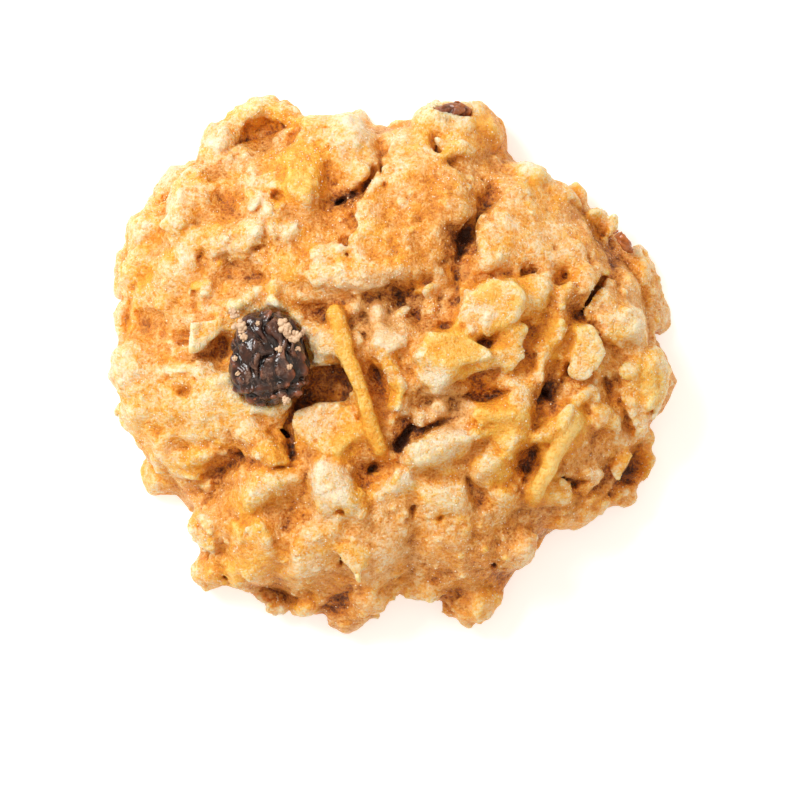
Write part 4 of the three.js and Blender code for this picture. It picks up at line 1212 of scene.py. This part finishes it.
def raisin_form(name, grow=0.0, **tones):
    """A ball with its sides pressed flat, a little wider at one end."""
    x, y, half, heading, rise, taper = RAISINS[name]
    half = [h + grow for h in half]

    def distance(p):
        wide = 1 + taper * np.clip(p[0] / half[0], -1, 1)
        shares = [np.abs(q) / h for q, h in zip((p[0], p[1] / wide, p[2]), half)]
        norm = sum(share**RAISIN_POWER for share in shares) ** (1 / RAISIN_POWER)
        norm = np.maximum(norm, 0.05)
        return (1 - 1 / norm) * np.sqrt(sum(q * q for q in p))

    return Form((x, y, dome_height(x, y) + rise), axes_of(heading), half, distance, warp=0.0, **tones)


def join_rows(field, rows, form_of, blend, draw):
    """Joins a form for each row of a list, each a little more or less baked."""
    for row in rows:
        field.join(form_of(row, **random_tones(draw)), blend)


def add_forms(field, draw):
    """Joins and cuts the forms placed one by one after the photo, from the rim to the raisins."""
    join_rows(field, RIM_LUMPS, lump_form, RIM_BLEND, draw)
    for mass in MASSES:
        field.join(mass_form(mass), MASS_BLEND)
    join_rows(field, LUMPS, lump_form, LUMP_BLEND, draw)
    join_rows(field, RIDGES, ridge_form, RIDGE_BLEND, draw)
    for cavity in CAVITIES:
        field.cut(cavity_form(cavity), CAVITY_BLEND)
    for pit in PITS:
        field.cut(pit_form(pit, **PIT_TONES), PIT_BLEND)
    for crack in CRACKS:
        field.cut(crack_form(crack, **CRACK_TONES), PIT_BLEND)
    join_rows(field, FLOOR_LUMPS, lump_form, RIDGE_BLEND, draw)
    for plate in PLATES:
        field.join(plate_form(plate, **PLATE_TONES), FLAKE_BLEND)
    for flake in EDGE_FLAKES:
        field.join(edge_flake_form(flake), FLAKE_BLEND)
    for name in RAISINS:
        field.cut(raisin_form(name, RAISIN_GAPS[name], **SOCKET_TONES), SOCKET_BLEND)


def dough_field():
    low = [c / MM - GRID_PAST for c in cad_box[0]]
    high = [c / MM + GRID_PAST for c in cad_box[1]]
    field = Field(low, high, GRID_STEP)
    x, y, z = field.axes
    x, y, z = x[:, None, None], y[None, :, None], z[None, None, :]
    field.warp(WARPS, WARP_SEED)
    field.distance[:] = dome_distance(x, y, z)
    draw = np.random.default_rng(FORM_SEED)
    add_forms(field, draw)
    field.tones["crumb"] *= np.interp(field.axes[0], *ROUGHER)[:, None, None].astype(np.float32)
    field.relieve(SWELLS, CLUSTERS, RELIEF_SEED)
    scatter_oats(field, draw)
    scatter_crumbs(field, draw)
    scatter_pores(field, draw)
    field.distance[:] = np.maximum(field.distance, -z)
    return field


def patched(corners, tones):
    """Tones with the patches added, each fading out over its reach, and the foot more baked."""
    for x, y, reach, bake, gold in TONE_PATCHES:
        away = np.hypot(corners[:, 0] - x, corners[:, 1] - y) / reach
        share = np.exp(-(away**4))
        tones["bake"] += bake * share
        tones["gold"] += gold * share
    tones["bake"] += FOOT_BAKE * np.clip(1 - corners[:, 2] / FOOT_HEIGHT, 0, 1)
    return tones


def make_cookie():
    field = dough_field()
    points, faces = largest_piece(*surface_net(field))
    piece = smooth(thinned(object_of("oatmeal_cookie", mesh_of("oatmeal_cookie", points, faces)), FACES))
    corners = corners_of(piece.data)
    tones = {name: field.sample(volume, corners) for name, volume in field.tones.items()}
    for name, values in patched(corners, tones).items():
        set_tone(piece.data, name, values)
    # These solidness tones drive the painted shade and light in the dough's colour.
    for name, reach in SOLID_REACHES.items():
        set_tone(piece.data, name, field.sample(field.blurred(reach), corners) * 2 - 1)
    return piece


# ---------------------------------------------------------------- grains on the dough

# Each pair is a range for random draws.
GRAIN_COUNT = 4500
GRAIN_HALF = (0.07, 0.14)
GRAIN_SIDES = (0.7, 1.3)  # each half size over GRAIN_HALF
GRAIN_RISE = (-0.5, 0.4)  # of its middle above the surface, over its half size
GRAIN_LOWEST = 1.0  # above the ground
GRAIN_STEEPEST = -0.2  # least upward part of the surface's direction
GRAIN_PATCH = 3.0  # size of the patches with more or fewer grains

# How the share of grains follows a value of the dough: factor, offset and least share.
GRAINS_BY_CRUMB = (2, -0.9, 0.03)
GRAINS_BY_PATCH = (1.4, 0.55, 0.1)
# Fewer grains in hollows: their pale colour stands partly for glints, a painted highlight on crests.
GRAINS_BY_HOLLOW = (-2, 0.6, 0.05)


def round_grain():
    """The twelve corners and twenty faces of a small ball."""
    tall = (1 + math.sqrt(5)) / 2
    signs = [(i, j) for i in (-1, 1) for j in (-1, 1)]
    corners = np.array([np.roll((0, i, j * tall), turn) for turn in range(3) for i, j in signs])
    return corners / math.hypot(1, tall), faces_round(corners, 2.1)


def sharp_grain():
    """The six corners and eight faces of a small crystal."""
    corners = np.concatenate([np.eye(3), -np.eye(3)])
    return corners, faces_round(corners, 1.5)


def faces_round(corners, reach):
    """The three-sided faces between neighbours on a ball, wound outwards."""
    faces = []
    for a, b, c in itertools.combinations(range(len(corners)), 3):
        ends = corners[[a, b, c]]
        if max(np.linalg.norm(ends - np.roll(ends, 1, axis=0), axis=1)) < reach:
            faces.append((a, b, c) if np.linalg.det(ends) > 0 else (a, c, b))
    return np.array(faces)


def share_by(value, factor, offset, least):
    return np.clip(value * factor + offset, least, 1)


def places_on(piece, count, draw):
    """Random places on a piece's upper side, closer together where it is crumbly."""
    mesh = piece.data
    mesh.calc_loop_triangles()
    triangles = np.zeros(len(mesh.loop_triangles) * 3, np.int32)
    mesh.loop_triangles.foreach_get("vertices", triangles)
    triangles = triangles.reshape(-1, 3)
    a, b, c = (corners_of(mesh)[triangles[:, i]] for i in range(3))
    normals = np.cross(b - a, c - a)
    area = np.linalg.norm(normals, axis=1)
    normals /= np.maximum(area, 1e-9)[:, None]
    crumb = tone_of(mesh, "crumb")[triangles[:, 0]]
    hollow = tone_of(mesh, "hollow")[triangles[:, 0]]
    patch = Noise(PATCH_SEED)([a[:, i] for i in range(3)], GRAIN_PATCH)
    weight = area * share_by(crumb, *GRAINS_BY_CRUMB) * share_by(patch, *GRAINS_BY_PATCH)
    weight *= share_by(hollow, *GRAINS_BY_HOLLOW)
    weight[(a[:, 2] < GRAIN_LOWEST) | (normals[:, 2] < GRAIN_STEEPEST)] = 0
    chosen = draw.choice(len(triangles), count, p=weight / weight.sum())
    shares = draw.dirichlet((1, 1, 1), count)
    points = sum(shares[:, i : i + 1] * ends[chosen] for i, ends in enumerate((a, b, c)))
    return points, normals[chosen], triangles[chosen, 0]


def make_grains(dough, seed):
    """Small crystals half sunk in the dough, in one mesh."""
    draw = np.random.default_rng(seed)
    points, normals, nearest = places_on(dough, GRAIN_COUNT, draw)
    each = (GRAIN_COUNT, 1)
    half = np.exp(draw.uniform(*np.log(GRAIN_HALF), size=each))
    half = half * draw.uniform(*GRAIN_SIDES, size=(GRAIN_COUNT, 3))
    centres = points + normals * half.mean(axis=1, keepdims=True) * draw.uniform(*GRAIN_RISE, size=each)
    turns = np.linalg.qr(draw.normal(size=(GRAIN_COUNT, 3, 3)))[0]
    turns *= np.linalg.det(turns)[:, None, None]
    grain_corners, grain_faces = sharp_grain()
    corners = centres[:, None] + (grain_corners[None] * half[:, None]) @ turns
    faces = grain_faces[None] + len(grain_corners) * np.arange(GRAIN_COUNT)[:, None, None]
    grains = object_of("pale_grains", mesh_of("pale_grains", corners.reshape(-1, 3), faces.reshape(-1, 3)))
    set_tone(grains.data, "bake", np.repeat(tone_of(dough.data, "bake")[nearest], len(grain_corners)))
    return grains


# ---------------------------------------------------------------- raisins

RAISIN_STEP = 0.14
RAISIN_PAST = 1.0  # how far a raisin's grid goes past its form

# Folds of the skin: size along, size across, depth.
WRINKLES = [
    (4.4, 3.0, 0.6),
    (2.8, 1.2, 0.36),
    (1.0, 0.6, 0.12),
]

WRINKLE_NARROWNESS = 2.2  # how much narrower than the noise a fold is
WRINKLE_POWER = 1.3
BEND_SIZE = 3.0
BEND_ALONG = 0.4  # of a fold's size, by which the folds wander
BEND_ACROSS = 0.6

# Pleats across a raisin's end: depth in millimetres, the rest as shares of its half length.
PLEAT_DEPTH = 0.3
PLEAT_PLACE = 0.72
PLEAT_REACH = 0.2
PLEAT_STEP = 0.24
PLEAT_BEND = 0.5  # millimetres by which the pleats wander

# Crumbs stuck on the large raisin: x, y, half size.
RAISIN_CRUMBS = [
    (-18.6, 4.7, 0.78),
    (-18.2, 3.3, 0.5),
    (-19.4, 6.2, 0.6),
    (-13.2, 4.6, 1.0),
    (-12.2, 3.2, 0.8),
    (-13.8, 1.8, 0.45),
    (-11.4, 1.9, 0.4),
    (-12.5, -0.4, 0.35),
    (-19.3, 0.6, 0.35),
    (-18.9, -1.2, 0.3),
    (-16.4, 5.0, 0.3),
    (-10.9, 3.9, 0.4),
    (-13.0, -4.5, 0.55),
]
CRUMB_LUMPS = 26  # small lumps that make up one crumb
CRUMB_SPREAD = 0.4  # of its half size, over which they lie
CRUMB_FLATNESS = (1, 1, 0.3)  # of that spread, along each axis
CRUMB_LUMP_HALF = (0.28, 0.55)  # half sizes of a small lump over the crumb's


def wrinkled(field, form, seed):
    """Cuts deep soft folds along a raisin, finer ones between them, and pleats across its end."""
    where = np.nonzero(np.abs(field.distance) < 2 * BAND)
    points = field.points(where)
    away = np.stack(points, axis=1) - form.centre
    local = (away @ form.axes).T
    bend = Noise(seed)(points, BEND_SIZE)
    for number, (along, across, depth) in enumerate(WRINKLES):
        length, width = local[0] / along + bend * BEND_ALONG, local[1] / across + bend * BEND_ACROSS
        value = Noise(seed + 1 + number)((length, width, local[2] / across), 1.0)
        fold = (1 - np.minimum(np.abs(value) * WRINKLE_NARROWNESS, 1)) ** WRINKLE_POWER
        field.distance[where] += depth * fold
    from_end = (local[0] + bend * PLEAT_BEND) / form.half[0] + PLEAT_PLACE
    near_end = np.exp(-((from_end / PLEAT_REACH) ** 2))
    field.distance[where] += PLEAT_DEPTH * near_end * np.cos(math.tau * from_end / PLEAT_STEP)


def make_raisin(name, seed):
    form = raisin_form(name)
    reach = np.abs(form.axes) @ form.half + RAISIN_PAST
    field = Field(form.centre - reach, form.centre + reach, RAISIN_STEP)
    view, local = field.window(form, FAR)
    field.distance[view] = form.distance(local)
    wrinkled(field, form, seed)
    points, faces = largest_piece(*surface_net(field))
    piece = smooth(object_of(f"{name}_skin", mesh_of(f"{name}_skin", points, faces)))
    # The fold tone drives the painted light and shade of the skin.
    set_tone(piece.data, "fold", field.sample(field.blurred(SOLID_REACHES["fold"]), points) * 2 - 1)
    return piece


def make_raisin_crumbs(raisin, seed):
    """Clusters of small lumps of dough, lying on the raisin."""
    draw = np.random.default_rng(seed)
    corners = corners_of(raisin.data)
    ball_corners, ball_faces = round_grain()
    pieces = []
    for x, y, half in RAISIN_CRUMBS:
        away = np.hypot(corners[:, 0] - x, corners[:, 1] - y)
        middle = np.array((x, y, corners[away < away.min() + half, 2].max()))
        for _ in range(CRUMB_LUMPS):
            place = middle + draw.normal(scale=half * CRUMB_SPREAD, size=3) * CRUMB_FLATNESS
            pieces.append(place + ball_corners * half * draw.uniform(*CRUMB_LUMP_HALF, size=3))
    faces = ball_faces[None] + len(ball_corners) * np.arange(len(pieces))[:, None, None]
    mesh = mesh_of("raisin_crumbs", np.concatenate(pieces), faces.reshape(-1, 3))
    return smooth(object_of("raisin_crumbs", mesh))


# ---------------------------------------------------------------- materials


def linear(code):
    """A colour written as in a picture editor, as the shader needs it."""
    shares = [int(code[i : i + 2], 16) / 255 for i in (1, 3, 5)]
    return tuple(s / 12.92 if s <= 0.04045 else ((s + 0.055) / 1.055) ** 2.4 for s in shares) + (1.0,)


class Graph:
    """A material's nodes, made one by one."""

    def __init__(self, name):
        self.material = bpy.data.materials.new(name)
        self.material.use_nodes = True
        self.nodes = self.material.node_tree.nodes
        self.links = self.material.node_tree.links
        self.nodes.clear()
        self.shader = self.nodes.new("ShaderNodeBsdfPrincipled")
        output = self.nodes.new("ShaderNodeOutputMaterial")
        self.links.new(self.shader.outputs[0], output.inputs["Surface"])
        place = self.nodes.new("ShaderNodeTexCoord")
        self.place = place.outputs["Object"]

    def put(self, socket, value):
        if isinstance(value, bpy.types.NodeSocket):
            self.links.new(value, socket)
        else:
            socket.default_value = value

    def tone(self, name):
        node = self.nodes.new("ShaderNodeAttribute")
        node.attribute_name = name
        return node.outputs["Fac"]

    def noise(self, size, detail=2.0, roughness=0.5):
        node = self.nodes.new("ShaderNodeTexNoise")
        self.links.new(self.place, node.inputs["Vector"])
        node.inputs["Scale"].default_value = 1 / (size * MM)
        node.inputs["Detail"].default_value = detail
        node.inputs["Roughness"].default_value = roughness
        return node.outputs["Fac"]

    def maths(self, kind, a, b=0.0, clamp=False):
        node = self.nodes.new("ShaderNodeMath")
        node.operation = kind
        node.use_clamp = clamp
        self.put(node.inputs[0], a)
        self.put(node.inputs[1], b)
        return node.outputs[0]

    def sum(self, *terms):
        """The sum of terms, each a value and its factor, and a last plain number."""
        total = terms[-1]
        for value, factor in terms[:-1]:
            total = self.maths("ADD", self.maths("MULTIPLY", value, factor), total)
        return total

    def stretch(self, value, low, high, to_low=0.0, to_high=1.0):
        node = self.nodes.new("ShaderNodeMapRange")
        self.put(node.inputs["Value"], value)
        node.inputs["From Min"].default_value = low
        node.inputs["From Max"].default_value = high
        node.inputs["To Min"].default_value = to_low
        node.inputs["To Max"].default_value = to_high
        return node.outputs["Result"]

    def ramp(self, value, stops):
        node = self.nodes.new("ShaderNodeValToRGB")
        self.put(node.inputs["Fac"], value)
        elements = node.color_ramp.elements
        while len(elements) < len(stops):
            elements.new(1.0)
        for element, (at, code) in zip(elements, stops):
            element.position = at
            element.color = linear(code)
        return node.outputs["Color"]

    def mix(self, share, a, b):
        """Colour a turning into colour b, through the node's sockets for colours."""
        node = self.nodes.new("ShaderNodeMix")
        node.data_type = "RGBA"
        self.put(node.inputs["Factor"], share)
        self.put(node.inputs[6], a)
        self.put(node.inputs[7], b)
        return node.outputs[2]

    def bump(self, height, distance, strength=1.0, onto=None):
        node = self.nodes.new("ShaderNodeBump")
        self.put(node.inputs["Height"], height)
        node.inputs["Distance"].default_value = distance * MM
        node.inputs["Strength"].default_value = strength
        if onto is not None:
            self.links.new(onto, node.inputs["Normal"])
        return node.outputs["Normal"]


# How the dough, its golden parts and its pale grains look, from pale to well baked; the dark end also gives
# the painted shade in hollows and holes, and the pale grains' light colour is partly a painted highlight.
DOUGH_STOPS = [
    (0.0, "#fceacf"),
    (0.3, "#f7d5a6"),
    (0.5, "#ecb66e"),
    (0.7, "#d09048"),
    (0.85, "#995e28"),
    (1.0, "#482410"),
]
GOLD_STOPS = [
    (0.0, "#ffd888"),
    (0.3, "#fcb840"),
    (0.5, "#ee9c2a"),
    (0.7, "#d27c20"),
    (0.85, "#985018"),
    (1.0, "#4c240c"),
]
PALE_STOPS = [
    (0.0, "#fff3dc"),
    (0.4, "#fbe0b4"),
    (1.0, "#dba25e"),
]
DUSTY_CRUMB_STOPS = [
    (0.0, "#ecd0b0"),
    (0.5, "#caa280"),
    (1.0, "#845c44"),
]
DUST_COLOUR = "#94705c"


def dough_colour(g, specks, grains):
    """Baked by its tones and by noise of several sizes, and golden in swirls; darker and more golden in
    folds and hollows and paler on crests, as painted shade and painted light.
    """
    blotches = g.noise(3.4, 4.0, 0.6)
    mottle = g.noise(1.3, 3.0, 0.6)
    swirls = g.noise(2.2, 4.0, 0.65)
    # Painted shade: the fold, hollow and deep tones darken creases and gaps and pale the crests.
    bake = g.sum(
        (g.tone("bake"), 1.0),
        (g.tone("fold"), 0.22),
        (g.tone("hollow"), 0.18),
        (g.tone("deep"), 0.42),
        (blotches, 0.3),
        (mottle, 0.5),
        (specks, 0.6),
        (grains, 0.55),
        -0.565,
    )
    # Painted warm light in the shade: the fold and hollow tones make creases more golden.
    golden = g.sum(
        (g.tone("gold"), 1.0),
        (swirls, 2.6),
        (specks, 1.8),
        (grains, 1.4),
        (g.tone("fold"), 0.4),
        (g.tone("hollow"), 0.4),
        -2.38,
    )
    return g.mix(golden, g.ramp(bake, DOUGH_STOPS), g.ramp(bake, GOLD_STOPS))


def dough_material():
    g = Graph("oat_dough")
    specks = g.noise(0.5, 3.0, 0.65)
    grains = g.noise(0.3, 2.0, 0.6)
    g.put(g.shader.inputs["Base Color"], dough_colour(g, specks, grains))
    g.put(g.shader.inputs["Roughness"], g.stretch(grains, 0.35, 0.65, 0.2, 0.5))
    g.shader.inputs["Subsurface Weight"].default_value = 0.7
    g.shader.inputs["Subsurface Radius"].default_value = (1.0, 0.72, 0.46)
    g.shader.inputs["Subsurface Scale"].default_value = 1.5 * MM
    g.shader.inputs["Specular IOR Level"].default_value = 0.5
    coarse = g.bump(specks, 0.5, 1.0)
    g.put(g.shader.inputs["Normal"], g.bump(grains, 0.25, 1.0, coarse))
    return g.material


def raisin_crumb_material():
    """Dry crumbs of dough, dusty from the raisin."""
    g = Graph("dusty_crumb")
    fine = g.noise(0.3, 2.0)
    tone = g.sum((g.noise(0.8, 3.0), 0.8), (fine, 0.5), -0.4)
    g.put(g.shader.inputs["Base Color"], g.ramp(tone, DUSTY_CRUMB_STOPS))
    g.shader.inputs["Roughness"].default_value = 0.6
    g.put(g.shader.inputs["Normal"], g.bump(fine, 0.12))
    return g.material


def pale_material():
    """Sugary specks that glint; their light colour is partly a painted highlight."""
    g = Graph("pale_grain")
    bake = g.sum((g.tone("bake"), 0.8), (g.noise(0.6, 2.0), 0.6), -0.2)
    g.put(g.shader.inputs["Base Color"], g.ramp(bake, PALE_STOPS))
    g.put(g.shader.inputs["Roughness"], g.stretch(g.noise(0.4, 1.0), 0.3, 0.7, 0.1, 0.3))
    g.shader.inputs["Specular IOR Level"].default_value = 0.8
    return g.material


def raisin_material(name, stops, gloss):
    """Dark skin, browner on the crests of its folds and darkest in their bottoms as painted light and shade,
    with floury dust.
    """
    g = Graph(name)
    blush = g.noise(1.6, 3.0)
    fine = g.noise(0.3, 3.0)
    # Painted light and shade: the skin is browner on fold crests and darker towards fold bottoms.
    tone = g.sum((g.tone("fold"), 0.9), (blush, 0.9), 0.06)
    skin = g.ramp(tone, stops)
    dust = g.sum((g.noise(2.6, 2.0), 6.0), (g.noise(0.35, 3.0, 0.7), 5.0), (g.tone("fold"), -1.4), -6.1)
    dusty = g.maths("MULTIPLY", g.stretch(dust, 0.0, 1.0), 0.5, clamp=True)
    g.put(g.shader.inputs["Base Color"], g.mix(dusty, skin, linear(DUST_COLOUR)))
    g.put(g.shader.inputs["Roughness"], g.sum((blush, 0.16), (dusty, 0.4), 0.02))
    g.shader.inputs["Specular IOR Level"].default_value = gloss
    g.put(g.shader.inputs["Normal"], g.bump(fine, 0.1, 0.5))
    return g.material


def floor_material():
    g = Graph("pale_floor")
    g.put(g.shader.inputs["Base Color"], (0.8, 0.8, 0.8, 1.0))
    g.shader.inputs["Roughness"].default_value = 0.6
    g.shader.inputs["Specular IOR Level"].default_value = 0.0
    g.shader.inputs["Emission Color"].default_value = (1.0, 1.0, 1.0, 1.0)
    g.shader.inputs["Emission Strength"].default_value = 0.5
    return g.material


# ---------------------------------------------------------------- the scene

FLOOR_SIZE = 3.0
VIEW_CENTRE = (1.19, -4.5)  # of the picture, in the cookie's frame
VIEW_WIDTH = 100.0
CAMERA_HEIGHT = 1500.0
SENSOR = 36.0
LOOK_HEIGHT = 8.0  # at which the picture is VIEW_WIDTH wide
CAMERA_SEES = 10.0  # metres

SKY_COLOUR = (1.0, 0.88, 0.73, 1.0)
SKY_STRENGTH = 0.64

# Lamps: direction from the cookie, distance and size in metres, watts, colour.
LAMPS = {
    "key": ((-0.68, 0.58, 0.88), 0.9, 0.36, 6.7, (0.96, 0.97, 0.98)),
    "fill": ((0.0, 0.0, 1.2), 1.1, 0.9, 1.7, (1.0, 0.94, 0.86)),
}


def make_floor():
    half = FLOOR_SIZE / 2
    points = np.array([(-half, -half, 0), (half, -half, 0), (half, half, 0), (-half, half, 0)]) / MM
    floor = object_of("floor", mesh_of("floor", points, np.array([[0, 1, 2, 3]])))
    floor.data.materials.append(floor_material())


def make_camera():
    data = bpy.data.cameras.new("camera")
    data.sensor_width = SENSOR
    data.lens = SENSOR * (CAMERA_HEIGHT - LOOK_HEIGHT) / VIEW_WIDTH
    data.clip_end = CAMERA_SEES
    camera = object_of("camera", data)
    camera.location = (VIEW_CENTRE[0] * MM, VIEW_CENTRE[1] * MM, CAMERA_HEIGHT * MM)
    bpy.context.scene.camera = camera


def make_lamp(name, towards, distance, size, watts, colour):
    """A square lamp that lies towards a direction and faces the cookie."""
    data = bpy.data.lights.new(name, "AREA")
    data.size = size
    data.energy = watts
    data.color = colour
    lamp = object_of(name, data)
    direction = Vector(towards).normalized()
    lamp.location = direction * distance
    lamp.rotation_mode = "QUATERNION"
    lamp.rotation_quaternion = direction.to_track_quat("Z", "Y")


def make_world():
    world = bpy.data.worlds.new("studio")
    world.use_nodes = True
    sky = world.node_tree.nodes["Background"]
    sky.inputs["Color"].default_value = SKY_COLOUR
    sky.inputs["Strength"].default_value = SKY_STRENGTH
    bpy.context.scene.world = world


def make_scene():
    bpy.context.scene.view_settings.view_transform = "Standard"
    make_floor()
    make_camera()
    make_world()
    for name, lamp in LAMPS.items():
        make_lamp(name, *lamp)


def finished(piece, node, material):
    """Gives a piece its material, hangs it on the root body and hides the solid that it stands for."""
    piece.data.materials.clear()
    piece.data.materials.append(material)
    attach(piece, "root")
    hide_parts(node)


make_scene()
dough = make_cookie()
grains = make_grains(dough, GRAIN_SEED)
finished(dough, "cookie", dough_material())
finished(grains, "cookie", pale_material())
dark_skin = raisin_material("raisin_skin", RAISIN_STOPS, 0.6)
brown_skin = raisin_material("brown_raisin_skin", BROWN_RAISIN_STOPS, 0.4)
for number, name in enumerate(RAISINS):
    raisin = make_raisin(name, RAISIN_SEED + 10 * number)
    finished(raisin, name, dark_skin if name == "raisin_1" else brown_skin)
    if name == "raisin_1":
        crumbs = make_raisin_crumbs(raisin, RAISIN_CRUMB_SEED)
        finished(crumbs, name, raisin_crumb_material())
